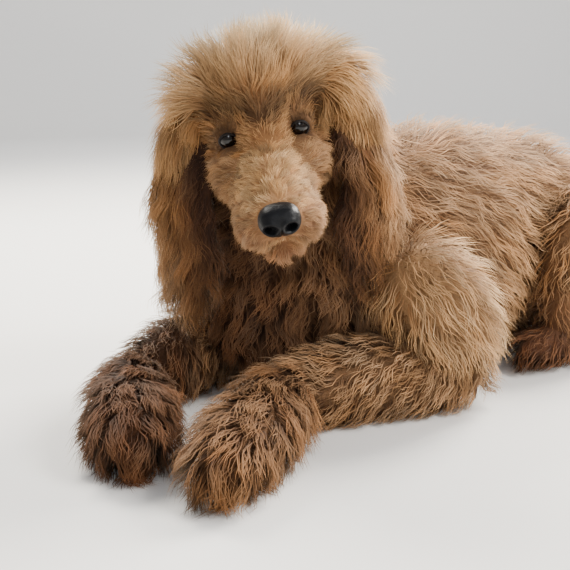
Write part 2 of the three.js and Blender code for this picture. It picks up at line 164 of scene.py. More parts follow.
class Form:
    """A rounded body form along a line, with half widths and half heights along it."""

    BATCH = 20000
    HALF_STEP = 0.55
    THINNEST = 0.002

    def __init__(self, line, sizes, up=UP, blunt=0.5):
        self.centres = smooth_line(line)
        self.sizes = smooth_line(np.array(sizes, float))
        self.tangents = unit(np.gradient(self.centres, axis=0))
        up = np.asarray(up, float)
        self.rises = unit(up - (self.tangents @ up)[:, None] * self.tangents)
        self.sides = np.cross(self.tangents, self.rises)
        self.blunt = blunt
        self.steps = np.linspace(-1, 1, len(self.centres))

    def at(self, along, rows):
        return np.stack([np.interp(along, self.steps, column) for column in rows.T], -1)

    def place(self, along, angle):
        """Points of the surface: along from -1 to 1, angle round the line."""
        size = self.at(along, self.sizes)
        taper = np.maximum(0, 1 - along ** 2) ** (self.blunt / 2)
        across = (np.cos(angle) * taper * size[:, 0])[:, None] * self.at(along, self.sides)
        upward = (np.sin(angle) * taper * size[:, 1])[:, None] * self.at(along, self.rises)
        return self.at(along, self.centres) + across + upward

    def distance(self, points):
        """Rough distance of points from the surface, and the line's direction next to them."""
        near = np.empty(len(points))
        ways = np.empty((len(points), 3))
        taper = np.maximum(self.THINNEST, 1 - self.steps ** 2) ** (self.blunt / 2)
        step = np.linalg.norm(np.diff(self.centres, axis=0), axis=1).max() * self.HALF_STEP
        for start in range(0, len(points), self.BATCH):
            part = points[start:start + self.BATCH]
            away = part[:, None, :] - self.centres[None]
            x, y, z = (np.einsum("nkc,kc->nk", away, rows)
                       for rows in (self.sides, self.rises, self.tangents))
            off = np.hypot(x, y) + 1e-6
            ratio = np.hypot(x / (self.sizes[:, 0] * taper), y / (self.sizes[:, 1] * taper)) + 1e-9
            outside = off - off / ratio
            past = np.maximum(0, np.abs(z) - step)
            gap = np.where(outside > 0, np.hypot(outside, past), np.where(past > 0, past, outside))
            best = np.argmin(gap, axis=1)
            near[start:start + self.BATCH] = gap[np.arange(len(part)), best]
            ways[start:start + self.BATCH] = self.tangents[best]
        return near, ways


def egg(centre, size, axis=BACK, up=UP):
    """A form with its half width, half length and half height."""
    across, along, high = size
    half = unit(axis) * along
    line = [np.asarray(centre, float) - half, np.asarray(centre, float) + half]
    return Form(line, [[across, high], [across, high]], up, blunt=1)


HEAD_UP = head_way(UP)


def head_egg(centre, size):
    return egg(on_head(centre), size, head_way(BACK), HEAD_UP)


def head_form(line, sizes):
    return Form(on_head(line), sizes, HEAD_UP)


def thinner(sizes, by):
    return [[w - by, h - by] for w, h in sizes]


def pelvis(forward, side, up):
    """A point of the hind quarters, from the hips: forward, sideways and up."""
    return [345 - 0.74 * forward + 0.673 * side, 305 - 0.673 * forward - 0.74 * side, up]


# Each limb's parts: zone, half widths and heights, and the depth of coat taken off them. The
# lines of the fore legs are points of the layout, and those of the hind legs are for pelvis().
FORE_SIZES = (
    ("arm", [[50, 50], [53, 53], [42, 44]], 9),
    ("forearm", [[38, 44], [37, 42], [35, 38]], 4),
    ("paw", [[34, 38], [37, 36], [39, 34], [37, 30]], 6),
)
FORE_LINES = {
    "left": ([[108, -30, 158], [152, -28, 110], [190, -8, 58]],
             [[204, -2, 40], [100, -44, 38], [-6, -86, 36]],
             [[14, -68, 42], [-14, -140, 34], [-36, -204, 31], [-52, -270, 27]]),
    "right": ([[-22, 34, 165], [-42, 72, 112], [-54, 112, 58]],
              [[-44, 122, 40], [-102, 30, 45], [-150, -58, 37]],
              [[-146, -34, 42], [-144, -104, 34], [-136, -158, 31], [-126, -214, 27]]),
}
HIND_SIZES = (
    ("thigh", [[56, 84], [54, 76], [46, 50]], 11),
    ("shank", [[42, 44], [40, 42], [36, 38]], 7),
    ("foot", [[30, 38], [30, 32], [34, 31], [30, 24]], 6),
)
HIND_LINES = (
    [(-20, 58, 156), (66, 94, 132), (146, 112, 98)],
    [(160, 114, 82), (70, 114, 66), (-26, 106, 48)],
    [(-24, 104, 40), (60, 108, 32), (130, 110, 31), (202, 108, 26)],
)
# Each ear's line from its root down, and the way that its outer face looks.
EARS = {
    "left": ([[48, 4, 306], [75, -28, 262], [81, -42, 204], [80, -46, 158]], (0.62, -0.76, 0.1)),
    "right": ([[-82, 4, 298], [-97, -29, 246], [-96, -42, 184], [-97, -46, 126]],
              (-0.5, -0.85, 0.1)),
}
EAR_SIZES = [[26, 9], [32, 8], [33, 7], [28, 6]]
# The hair of the crown is full at both upper corners and runs down over the tops of the ears.
CROWN_EGGS = {
    "crest_left": ([26, -8, 324], (42, 42, 28)),
    "crest_right": ([-62, -8, 304], (39, 42, 37)),
    "bell_left": ([61, -2, 284], (26, 32, 48)),
    "bell_right": ([-96, -4, 260], (24, 32, 50)),
}


def body_forms():
    """Forms of the body under the coat, by name: each with the zone of coat that it carries."""
    forms = {
        "trunk": ("trunk", Form(
            [[12, -6, 128], [75, 55, 136], [150, 135, 136], [235, 225, 132], [325, 300, 128],
             [405, 358, 118]],
            [[72, 92], [88, 125], [94, 130], [84, 122], [88, 121], [66, 90]])),
        "breast": ("trunk", egg([-2, 22, 98], (72, 44, 74))),
        "neck": ("neck", Form(
            [[95, 95, 150], [48, 70, 212], [-4, 42, 258], [-24, 22, 296]],
            thinner([[94, 90], [92, 86], [82, 76], [68, 66]], 14))),
        "crown": ("crown", head_egg([7, 62, 9], [71, 58, 46])),
        "skull": ("brow", head_egg([0, 60, 0], [58, 78, 40])),
        "throat": ("throat", head_egg([-6, 62, -62], [66, 54, 62])),
        "throat_base": ("throat", egg([-20, 30, 170], (56, 42, 54))),
        "bridge": ("bridge", head_form(
            [[0, 20, -24], [0, -30, -30], [0, -75, -37], [0, -109, -41]],
            thinner([[36, 28], [34, 29], [31, 28], [25, 22]], 2.5))),
        "jaw": ("chin", head_form(
            [[0, 62, -62], [0, 0, -68], [0, -60, -71], [0, -97, -71]],
            thinner([[44, 26], [35, 20], [27, 15], [20, 14]], 2))),
        "tail": ("tail", Form(
            [[420, 368, 118], [478, 412, 84], [530, 452, 48], [590, 468, 37], [650, 452, 32]],
            thinner([[46, 44], [38, 38], [40, 40], [40, 39], [30, 31]], 12))),
    }
    for side, way in SIDES:
        forms[f"cheek_{side}"] = ("cheek", head_egg([way * 31, 10, -33], [25, 46, 30]))
        forms[f"jowl_{side}"] = ("cheek", head_egg([way * 25, -26, -42], [14, 42, 20]))
        forms[f"flew_{side}"] = ("flew", head_egg([way * 19, -69, -49], [19, 40, 18]))
    for side, lines in FORE_LINES.items():
        for (zone, sizes, coat), line in zip(FORE_SIZES, lines):
            forms[f"{zone}_{side}"] = (zone, Form(line, thinner(sizes, coat)))
    for side, way in SIDES:
        for (zone, sizes, coat), line in zip(HIND_SIZES, HIND_LINES):
            line = [pelvis(forward, way * aside, up) for forward, aside, up in line]
            forms[f"{zone}_{side}"] = (zone, Form(line, thinner(sizes, coat)))
    for side, (line, out) in EARS.items():
        forms[f"ear_{side}"] = ("ear", Form(line, EAR_SIZES, unit(out)))
    for name, (centre, size) in CROWN_EGGS.items():
        forms[name] = ("crown", egg(centre, size))
    return forms


# ---------------------------------------------------------------- values of the coat

# Coat of each zone: length, lift off the skin (0 lies flat, 1 stands up), wave height, wave
# length, spacing of the tufts, how far a tuft draws together, width of a lock, density, droop.
LENGTH, LIFT, WAVE, PERIOD, TUFT, BIND, WIDTH, DENSITY, DROOP = range(9)
COAT = {
    "trunk": (48, 0.58, 3.0, 36, 20, 0.74, 1.65, 1.0, 0.25),
    "neck": (48, 0.52, 3.0, 34, 18, 0.72, 1.5, 1.1, 0.40),
    "crown": (54, 0.48, 2.2, 50, 18, 0.62, 1.0, 2.2, 0.05),
    "brow": (15, 0.40, 1.2, 16, 8, 0.50, 0.80, 5.0, 0.00),
    "throat": (40, 0.42, 3.2, 26, 15, 0.70, 1.3, 1.6, 0.50),
    "cheek": (17, 0.36, 1.8, 18, 9, 0.55, 0.72, 4.5, 0.25),
    "bridge": (13, 0.34, 1.4, 15, 8, 0.55, 0.62, 6.5, 0.00),
    "flew": (14, 0.40, 1.7, 12, 7, 0.58, 0.66, 6.0, 0.35),
    "chin": (16, 0.45, 2.0, 14, 8, 0.62, 0.75, 5.0, 0.40),
    "ear": (54, 0.34, 4.0, 36, 16, 0.72, 1.05, 2.2, 0.85),
    "arm": (42, 0.52, 2.6, 34, 18, 0.70, 1.35, 1.5, 0.25),
    "forearm": (34, 0.50, 2.3, 26, 15, 0.70, 1.35, 2.1, 0.20),
    "paw": (42, 0.48, 2.5, 38, 18, 0.72, 1.3, 2.1, 0.40),
    "thigh": (44, 0.50, 2.8, 36, 18, 0.70, 1.75, 1.0, 0.30),
    "shank": (34, 0.48, 2.4, 28, 14, 0.68, 1.6, 1.2, 0.25),
    "foot": (32, 0.46, 2.2, 30, 14, 0.68, 1.5, 1.4, 0.30),
    "tail": (52, 0.58, 3.0, 34, 18, 0.70, 1.7, 1.2, 0.30),
}
ZONES = list(COAT)
# Colours at the root and at the tip, of each zone, and of the markings and the patches of painted
# light and shade that lie over the zones.
COLOUR_CODES = {
    "trunk": ("60412a", "bb9167"),
    "neck": ("60402a", "bf946a"),
    "crown": ("6c4424", "c99a66"),
    # The brow, throat, cheeks, flews and chin are darker than the bridge: partly their own colour,
    # partly painted shade on the sides and underside of the head.
    "brow": ("6e4528", "b6895a"),
    "throat": ("2a190f", "64452f"),
    "cheek": ("64422a", "aa825b"),
    "bridge": ("946440", "e2b880"),
    "flew": ("664330", "a9805d"),
    "chin": ("653f28", "ac7f5d"),
    "ear": ("3f2313", "94673f"),
    "arm": ("745235", "d1a778"),
    "forearm": ("553925", "bb9168"),
    "paw": ("3b2414", "916640"),
    "thigh": ("60412a", "b98e63"),
    "shank": ("503421", "a27853"),
    "foot": ("3a2115", "7f5436"),
    "tail": ("634630", "c0976c"),
    "dark chest and painted shade": ("24140c", "92694a"),
    "painted rim light on top": ("b78754", "fae0b2"),
    "painted shade on right paw": ("28160c", "70472c"),
    "painted shade on inner ear": ("24130b", "5c3d28"),
    "painted light on outer ear": ("6f4a2d", "cca278"),
}


def linear(code):
    """A colour written as rrggbb, in the linear values that Blender's colours use."""
    parts = [int(code[i:i + 2], 16) / 255 for i in (0, 2, 4)]
    return np.array([v / 12.92 if v <= 0.04045 else ((v + 0.055) / 1.055) ** 2.4 for v in parts])


COLOURS = {name: (linear(root), linear(tip)) for name, (root, tip) in COLOUR_CODES.items()}
# Hair that lies the same way all over its zone: outwards, back and up on the head's axes.
HEAD_LIES = {
    "brow": (0.5, 0.3, 0.8),
    "cheek": (0.5, 0.75, -0.55),
    "chin": (0.15, 0.25, -0.9),
    "throat": (0.6, 0.3, -0.8),
}


def coat_flow(zone, points, head, along):
    """The way the hair lies at each point of a zone."""
    down = np.array([0, 0, -1.0])
    side = np.sign(head[:, :1])
    if zone == "trunk":
        front = ramp(points[:, 0] + points[:, 1], 60, -30)[:, None]
        return along * (0.6 - 0.9 * front) + down * (0.8 + 0.3 * front)
    if zone == "neck":
        return -along * 0.7 + down * 0.6 + np.array([0.25, 0.1, 0])
    if zone == "crown":
        # It stands out from the middle of the head, and hangs at the sides.
        aside = (ramp(np.abs(head[:, 0]), 34, 64) * ramp(head[:, 2], 52, 18))[:, None]
        away = unit((head - np.array([0, -8, 2.0])) * np.array([0.7, 0.55, 1.0]))
        return head_way(away * (1 - aside)) + down * 1.3 * aside
    if zone in ("bridge", "flew"):
        spread = ramp(np.abs(head[:, :1]), 0, 16)
        fall = ramp(head[:, 2:], -34, -48)
        return head_way(np.hstack([side * (0.15 + 0.7 * spread), 0.75 - 0.35 * fall,
                                   0.35 - 0.5 * spread - 0.8 * fall]))
    if zone in HEAD_LIES:
        out, back, up = HEAD_LIES[zone]
        return head_way(np.hstack([side * out, np.full_like(side, back), np.full_like(side, up)]))
    if zone == "ear":
        return along * 0.5 + down * 0.8
    return along * 0.9 + down * 0.35


def within(near, *names):
    return np.isin(near, [ZONES.index(name) for name in names])

# ---------------------------------------------------------------- meshes

def use_only(*pieces):
    """Selects nothing but the given pieces, and makes the first one active."""
    bpy.ops.object.select_all(action="DESELECT")
    for piece in pieces:
        piece.select_set(True)
    if pieces:
        bpy.context.view_layer.objects.active = pieces[0]


def new_ball(name, segments, rings):
    """A round primitive, ready to be shaped by its own points."""
    use_only()
    bpy.ops.mesh.primitive_uv_sphere_add(segments=segments, ring_count=rings, radius=1)
    ball = bpy.context.object
    ball.name = ball.data.name = name
    return ball


def read_vectors(mesh, key):
    values = np.empty(len(mesh.vertices) * 3, np.float32)
    mesh.vertices.foreach_get(key, values)
    return values.reshape(-1, 3).astype(float)


def put_points(mesh, points):
    mesh.vertices.foreach_set("co", np.asarray(points, np.float32).ravel())
    mesh.update()


def put_attribute(mesh, name, kind, key, values):
    """Stores a value at each point of the mesh, for a material or the shading to read."""
    attribute = mesh.attributes.new(name, kind, "POINT")
    attribute.data.foreach_set(key, np.asarray(values, np.float32).ravel())


def shaped(name, form, segments=36, rings=26):
    """A ball drawn out along a body form."""
    ball = new_ball(name, segments, rings)
    p = read_vectors(ball.data, "co")
    along = np.clip(p[:, 2], -1, 1)
    put_points(ball.data, to_frame(form.place(along, np.arctan2(p[:, 1], p[:, 0]))))
    return ball


def joined(name, objects):
    use_only(*objects)
    bpy.ops.object.join()
    whole = bpy.context.object
    whole.name = whole.data.name = name
    return whole


def applied(piece, kind, **values):
    """Adds a modifier and applies it."""
    use_only(piece)
    modifier = piece.modifiers.new(kind.title(), kind)
    for key, value in values.items():
        setattr(modifier, key, value)
    bpy.ops.object.modifier_apply(modifier=modifier.name)


def outward(piece):
    """Turns all faces of a closed piece outwards."""
    use_only(piece)
    bpy.ops.object.mode_set(mode="EDIT")
    bpy.ops.mesh.select_all(action="SELECT")
    bpy.ops.mesh.normals_make_consistent(inside=False)
    bpy.ops.object.mode_set(mode="OBJECT")


def finished(piece, material, slot, *nodes):
    """Gives a piece its material and body; the slot is not used."""
    piece.data.materials.clear()
    piece.data.materials.append(material)
    piece.data.polygons.foreach_set("use_smooth", [True] * len(piece.data.polygons))
    piece.data.update()
    if nodes:
        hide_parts(*nodes)
    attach(piece, "root")


# ---------------------------------------------------------------- materials

def add_node(tree, kind, **inputs):
    """Adds a shader node with values on its inputs."""
    node = tree.nodes.new("ShaderNode" + kind)
    for name, value in inputs.items():
        node.inputs[name].default_value = value
    return node


def named_value(tree, name):
    node = add_node(tree, "Attribute")
    node.attribute_name = name
    return node


def worked_out(tree, operation, first, second):
    """The output of a Math node; each input is another node's output or a number."""
    node = add_node(tree, "Math")
    node.operation = operation
    for socket, value in zip(node.inputs, (first, second)):
        if isinstance(value, float):
            socket.default_value = value
        else:
            tree.links.new(value, socket)
    return node.outputs[0]


def coat_variation():
    """Node group: streaks and patches that lighten and darken a coat colour."""
    name = "Coat Variation"
    if name in bpy.data.node_groups:
        return bpy.data.node_groups[name]
    group = bpy.data.node_groups.new(name, "ShaderNodeTree")
    for label, way, kind in (("Colour", "INPUT", "Color"), ("Patches", "INPUT", "Float"),
                             ("Streaks", "INPUT", "Float"), ("Colour", "OUTPUT", "Color"),
                             ("Height", "OUTPUT", "Float")):
        group.interface.new_socket(label, in_out=way, socket_type="NodeSocket" + kind)
    given, result = group.nodes.new("NodeGroupInput"), group.nodes.new("NodeGroupOutput")
    place = add_node(group, "TexCoord")
    patches = add_node(group, "TexNoise", Scale=22, Detail=3)
    streaks = add_node(group, "TexNoise", Scale=420, Detail=2)
    sums = []
    for noise, amount in ((patches, "Patches"), (streaks, "Streaks")):
        group.links.new(place.outputs["Object"], noise.inputs["Vector"])
        centred = worked_out(group, "SUBTRACT", noise.outputs["Fac"], 0.5)
        sums.append(worked_out(group, "MULTIPLY", centred, given.outputs[amount]))
    lift = worked_out(group, "ADD", worked_out(group, "ADD", *sums), 1.0)
    shade = add_node(group, "HueSaturation")
    group.links.new(given.outputs["Colour"], shade.inputs["Color"])
    group.links.new(lift, shade.inputs["Value"])
    group.links.new(shade.outputs["Color"], result.inputs["Colour"])
    group.links.new(streaks.outputs["Fac"], result.inputs["Height"])
    return group


def new_material(name, **sockets):
    """A material with its Principled shader's sockets set."""
    material = bpy.data.materials.new(name)
    material.use_nodes = True
    shader = material.node_tree.nodes["Principled BSDF"]
    for socket, value in sockets.items():
        shader.inputs[socket.replace("_", " ")].default_value = value
    return material, material.node_tree, material.node_tree.links, shader


def add_relief(tree, height, shader, strength, distance):
    """Bumps a shader's surface by a height and returns the Bump node."""
    relief = add_node(tree, "Bump", Strength=strength, Distance=distance)
    tree.links.new(height, relief.inputs["Height"])
    tree.links.new(relief.outputs["Normal"], shader.inputs["Normal"])
    return relief


def add_cloud(tree, scale, first, second):
    """Two colours mixed by a soft noise; returns the noise and the mixed colour."""
    cloud = add_node(tree, "TexNoise", Scale=scale)
    mix = add_node(tree, "Mix")
    mix.data_type = "RGBA"
    mix.inputs["A"].default_value = (*first, 1)
    mix.inputs["B"].default_value = (*second, 1)
    tree.links.new(cloud.outputs["Fac"], mix.inputs["Factor"])
    return cloud, mix.outputs["Result"]


def coat_material(name, streaks, bump, sheen, roughness):
    """Hair: the coat colour of each point, varied, with a soft sheen."""
    material, tree, links, shader = new_material(
        name, Roughness=roughness, Specular_IOR_Level=0.18, Sheen_Weight=sheen,
        Sheen_Roughness=0.45, Sheen_Tint=(1.0, 0.86, 0.66, 1))
    variation = add_node(tree, "Group")
    variation.node_tree = coat_variation()
    variation.inputs["Patches"].default_value = 0.25
    variation.inputs["Streaks"].default_value = streaks
    links.new(named_value(tree, "coat_tint").outputs["Color"], variation.inputs["Colour"])
    links.new(variation.outputs["Colour"], shader.inputs["Base Color"])
    if bump:
        add_relief(tree, variation.outputs["Height"], shader, bump, 0.0012)
    return material


# Colours from the middle of the eye to its rim, by the share of its radius.
IRIS_BANDS = (
    (0.32, (0.002, 0.002, 0.002, 1)),
    (0.40, (0.012, 0.005, 0.003, 1)),
    (0.62, (0.008, 0.004, 0.002, 1)),
    (0.70, (0.003, 0.002, 0.002, 1)),
)


def eye_material():
    """Dark brown iris with rays round a black pupil, under a clear gloss."""
    material, tree, links, shader = new_material(
        "eye gloss", Roughness=0.3, Specular_IOR_Level=0.04, Coat_Weight=0.65, Coat_Roughness=0.02)
    grain = add_node(tree, "TexNoise", Scale=9)
    grain.noise_dimensions = "1D"
    links.new(named_value(tree, "iris_ray").outputs["Fac"], grain.inputs["W"])
    bands = add_node(tree, "ValToRGB")
    stops = bands.color_ramp.elements
    stops[0].position, stops[0].color = 0.0, (0.002, 0.002, 0.002, 1)
    stops[1].position, stops[1].color = 1.0, (0.006, 0.004, 0.003, 1)
    for position, colour in IRIS_BANDS:
        stops.new(position).color = colour
    links.new(named_value(tree, "iris_ring").outputs["Fac"], bands.inputs["Fac"])
    shade = add_node(tree, "HueSaturation")
    links.new(bands.outputs["Color"], shade.inputs["Color"])
    links.new(grain.outputs["Fac"], shade.inputs["Value"])
    links.new(shade.outputs["Color"], shader.inputs["Base Color"])
    return material


def leather_material(name, colour, lightest, pebbles, bump, roughness, moisture):
    """Bare skin of the nose, lids and lips: dark, pebbled and a little moist."""
    material, tree, links, shader = new_material(
        name, Roughness=roughness, Specular_IOR_Level=0.2, Coat_Weight=moisture,
        Coat_Roughness=0.28)
    place = add_node(tree, "TexCoord")
    cells = add_node(tree, "TexVoronoi", Scale=pebbles)
    cells.feature = "SMOOTH_F1"
    cloud, tinted = add_cloud(tree, 90, colour, [c * lightest for c in colour])
    for texture in (cells, cloud):
        links.new(place.outputs["Object"], texture.inputs["Vector"])
    links.new(tinted, shader.inputs["Base Color"])
    add_relief(tree, cells.outputs["Distance"], shader, bump, 0.0006).invert = True
    return material


# ---------------------------------------------------------------- skin and coat

# What the operators hand on: forms, the skin's values, coat materials and the share of locks.
state = {}

ZONE_BLEND = 7.0
SWIRLS = ((61.0, 0.0), (37.0, 2.1))
NOSE_RIM_CENTRE, NOSE_RIM_SIZE = np.array([0, -106, -35]), np.array([20, 15, 16.5])
GROUPING_CELL = 12
# Width of a lock's patch on the map.
PATCH = 0.003

# Pieces of coat: number of locks, rings along each lock, and seed.
COAT_PIECES = {
    "muzzle": (8600, 4, 31), "cheeks": (7600, 4, 32),
    "crown_front": (8000, 5, 41), "crown_back": (2500, 5, 42),
    "ear_left": (3200, 6, 51), "ear_right": (3200, 6, 52),
    "neck": (3900, 5, 61), "breast": (3700, 5, 62),
    "flank_left": (5400, 5, 63), "flank_right": (4000, 5, 64),
    "arm_left": (4300, 5, 71), "arm_right": (3100, 5, 72),
    "paw_left": (3600, 5, 73), "paw_right": (3600, 5, 74),
    "hind_left": (3000, 5, 75), "hind_right": (2200, 5, 76),
    "tail": (2500, 5, 81),
}
COAT_SHEEN = {"face coat": 0.06, "crown coat": 0.12, "ear coat": 0.08, "body coat": 0.12,
              "leg coat": 0.12}


def stain(data, name, share):
    """Mixes the root and tip colours of a zone, a marking or a patch of painted light or shade
    into the hair.
    """
    for key, colour in zip(("roots", "tips"), COLOURS[name]):
        data[key] = mixed(data[key], colour, share[:, None])


def skin_values(points):
    """Coat values, lie, colours, nearest zone and place on the head of each point of the skin."""
    forms = state["forms"].values()
    head = in_head(points)
    gaps, ways = zip(*(form.distance(points) for zone, form in forms))
    gaps = np.array(gaps)
    weights = np.exp(-(gaps - gaps.min(axis=0)) / ZONE_BLEND)
    weights /= weights.sum(axis=0)
    data = {key: np.zeros((len(points), 3)) for key in ("flow", "roots", "tips")}
    data["values"] = np.zeros((len(points), len(COAT["trunk"])))
    for (zone, form), weight, way in zip(forms, weights, ways):
        share = weight[:, None]
        data["values"] += share * np.array(COAT[zone])
        data["flow"] += share * unit(coat_flow(zone, points, head, way))
        data["roots"] += share * COLOURS[zone][0]
        data["tips"] += share * COLOURS[zone][1]
    near = np.array([ZONES.index(zone) for zone, form in forms])[np.argmin(gaps, axis=0)]
    data["zone"], data["head"] = near, head

    # The chest is shorter between the fore legs, and darker: partly its own darker curls, partly
    # painted shade under the head and ears.
    chest = ramp(points[:, 1] + 0.4 * points[:, 0], 40, -20) * ramp(points[:, 2], 235, 185)
    chest = chest * within(near, "trunk", "neck", "throat")
    data["values"][:, :TUFT] *= 1 - chest[:, None] * np.array([0.28, 0.1, -0.1, 0.3])
    stain(data, "dark chest and painted shade", chest)
    out, back, high = np.abs(head[:, 0]), head[:, 1], head[:, 2]
    crown, ear = within(near, "crown"), within(near, "ear")
    # Painted light: the top of the crown is paler where the rim light falls on it.
    stain(data, "painted rim light on top", ramp(high, 22, 66) * np.maximum(ramp(back, -4, 46), 0.25) * crown)
    # Painted shade on the ear's inner side next to the face, and painted light on its outer side.
    stain(data, "painted shade on inner ear", ramp(out, 92, 66) * ear)
    stain(data, "painted light on outer ear", ramp(out, 90, 112) * ear)
    # The ear's hair starts as pale as the crown's, and the lowest of the crown is as dark as it.
    stain(data, "crown", ramp(high, -60, 10) * ramp(out, 72, 90) * ear * 0.5)
    stain(data, "ear", ramp(high, 6, -44) * crown * 0.4)
    # Painted shade: the dog's right fore paw and forearm are darker and redder.
    paw = within(near, "paw", "forearm")
    stain(data, "painted shade on right paw", ramp(points[:, 0], -74, -104) * paw * 0.8)

    # Slow swirls turn the lie a little here and there.
    swirl = np.zeros_like(points)
    for size, start in SWIRLS:
        phase = points / size * math.pi
        swirl += np.stack([np.sin(phase[:, (a + 1) % 3] + 1.7 * a + start)
                           * np.cos(phase[:, (a + 2) % 3] + 0.9 * a) for a in range(3)], -1)
    calm = within(near, "bridge", "flew", "chin", "ear")
    data["flow"] = unit(unit(data["flow"]) + swirl * np.where(calm, 0.10, 0.28)[:, None])
    return data


def shape_face_hair(data):
    """Hair of the brow, round the eyes and at the nose."""
    head, values = data["head"], data["values"]
    out, back, high = np.abs(head[:, 0]), head[:, 1], head[:, 2]
    crown = within(data["zone"], "crown")
    # The brow is shorter and lies flatter, with a band of painted shade over the eyes, under the
    # crown's overhang.
    brow = ramp(back, 34, 8) * ramp(high, 46, 20) * crown
    values[:, LENGTH] *= 1 - 0.5 * brow
    values[:, LIFT] *= 1 - 0.15 * brow
    shade = (np.exp(-((high - 20) / 9) ** 2) * ramp(back, 36, 18))[:, None]
    data["roots"] = data["roots"] * (1 - 0.75 * shade)
    data["tips"] = data["tips"] * (1 - 0.62 * shade)
    # At the sides of the head the crown's hair hangs.
    sides = ramp(out, 36, 60) * ramp(high, 50, 20) * crown
    values[:, LIFT] *= 1 - 0.45 * sides
    values[:, DROOP] += 0.7 * sides
    # Round each eye the hair is short and dense and lies away from it; it is darker, partly its
    # own dark ring and partly painted shade of the socket.
    for side, way in SIDES:
        ball = head - eye_centre(way)
        away = ball + np.array([0, 8.0, 0])
        distance = np.linalg.norm(away, axis=1)
        near = ramp(distance, 23, 11) * (1 - ramp(high, 12, 20))
        for index, value in ((LENGTH, 6.5), (LIFT, 0.30), (WIDTH, 0.75)):
            values[:, index] = mixed(values[:, index], value, near)
        data["flow"] = unit(mixed(data["flow"], head_way(unit(away)), near[:, None]))
        angle = np.arccos(np.clip(-ball[:, 1] / np.linalg.norm(ball, axis=1), -1, 1))
        values[:, DENSITY] *= 1 + 1.2 * near
        values[(angle < 0.98) & (distance < 16), DENSITY] = 0
        # Darker round the eye: partly the dark ring, partly painted shade.
        dark = ramp(distance, 16.5, 10.5)[:, None]
        for key in ("roots", "tips"):
            data[key] = data[key] * (1 - 0.72 * dark)
    # Hair ends at the rim of the nose pad.
    off = np.linalg.norm((head - NOSE_RIM_CENTRE) / NOSE_RIM_SIZE, axis=1)
    values[off < 1.0, DENSITY] = 0
    values[:, LENGTH] = mixed(values[:, LENGTH], 8.0, ramp(off, 1.35, 1))


def read_skin(skin):
    """The skin's triangles with the values that the coat needs at their corners."""
    mesh = skin.data
    mesh.calc_loop_triangles()
    count = len(mesh.loop_triangles)
    corners, loops = np.empty(count * 3, np.int32), np.empty(count * 3, np.int32)
    mesh.loop_triangles.foreach_get("vertices", corners)
    mesh.loop_triangles.foreach_get("loops", loops)
    uv = np.empty(len(mesh.loops) * 2, np.float32)
    mesh.uv_layers["OFBake"].data.foreach_get("uv", uv)
    points = to_layout(read_vectors(mesh, "co"))
    data = skin_values(points)
    shape_face_hair(data)
    corners = corners.reshape(-1, 3)
    a, b, c = (points[corners[:, k]] for k in range(3))
    centre = (a + b + c) / 3
    # Triangles near each other get numbers near each other, so the locks can spread evenly.
    cells = np.floor((centre - centre.min(0)) / GROUPING_CELL).astype(np.int64)
    order = np.zeros(count, np.int64)
    for bit in range(7):
        for axis in range(3):
            order |= ((cells[:, axis] >> bit) & 1) << (3 * bit + axis)
    return {**data, "points": points, "normals": read_vectors(mesh, "normal"), "corners": corners,
            "uv": uv.reshape(-1, 2)[loops.reshape(-1, 3)], "centre": centre, "order": order,
            "area": np.linalg.norm(np.cross(b - a, c - a), axis=1) / 2}


def roots_on(mask, count, rng, even=False):
    """Evenly spread places on the chosen triangles of the skin, with all values there."""
    skin = state["skin"]
    chosen = np.flatnonzero(mask)
    chosen = chosen[np.argsort(skin["order"][chosen], kind="stable")]
    corners = skin["corners"][chosen]
    density = np.ones(len(chosen)) if even else skin["values"][corners][:, :, DENSITY].mean(axis=1)
    total = np.cumsum(skin["area"][chosen] * density)
    marks = (np.arange(count) + rng.random(count)) / count * total[-1]
    picked = np.minimum(np.searchsorted(total, marks), len(chosen) - 1)
    u, v = rng.random(count), rng.random(count)
    over = u + v > 1
    u[over], v[over] = 1 - u[over], 1 - v[over]
    share = np.stack([1 - u - v, u, v], -1)[:, :, None]
    at = corners[picked]
    found = {key: (skin[key][at] * share).sum(axis=1)
             for key in ("points", "normals", "values", "flow", "roots", "tips")}
    found["uv"] = (skin["uv"][chosen[picked]] * share).sum(axis=1)
    found["normals"], found["flow"] = unit(found["normals"]), unit(found["flow"])
    return found


def paths(found, lengths, rings):
    """Centre lines of locks that rise off the skin and bend over along the lie."""
    normal, values = found["normals"], found["values"]
    flow = unit(found["flow"] - (found["flow"] * normal).sum(1, keepdims=True) * normal)
    lift, droop = values[:, LIFT, None], values[:, DROOP, None]
    here = found["points"] - normal * np.minimum(2.0, 0.10 * lengths)[:, None]
    line = [here]
    for k in range(1, rings):
        t = (k - 0.5) / (rings - 1)
        way = normal * lift * (1.15 - 0.6 * t) + flow * (1 - lift + 0.45 * t)
        way = way + np.array([0, 0, -1.0]) * droop * t
        here = here + unit(way) * (lengths / (rings - 1))[:, None]
        line.append(here)
    return np.stack(line, 1)


def deep(values):
    """One value for each lock, to be used on all coordinates of all its rings."""
    return values[:, None, None]


def round_about(line, normals):
    """Unit vectors across each lock and above it, at all its rings."""
    way = unit(np.gradient(line, axis=1))
    across = unit(np.cross(way, normals[:, None, :]))
    return across, np.cross(across, way)


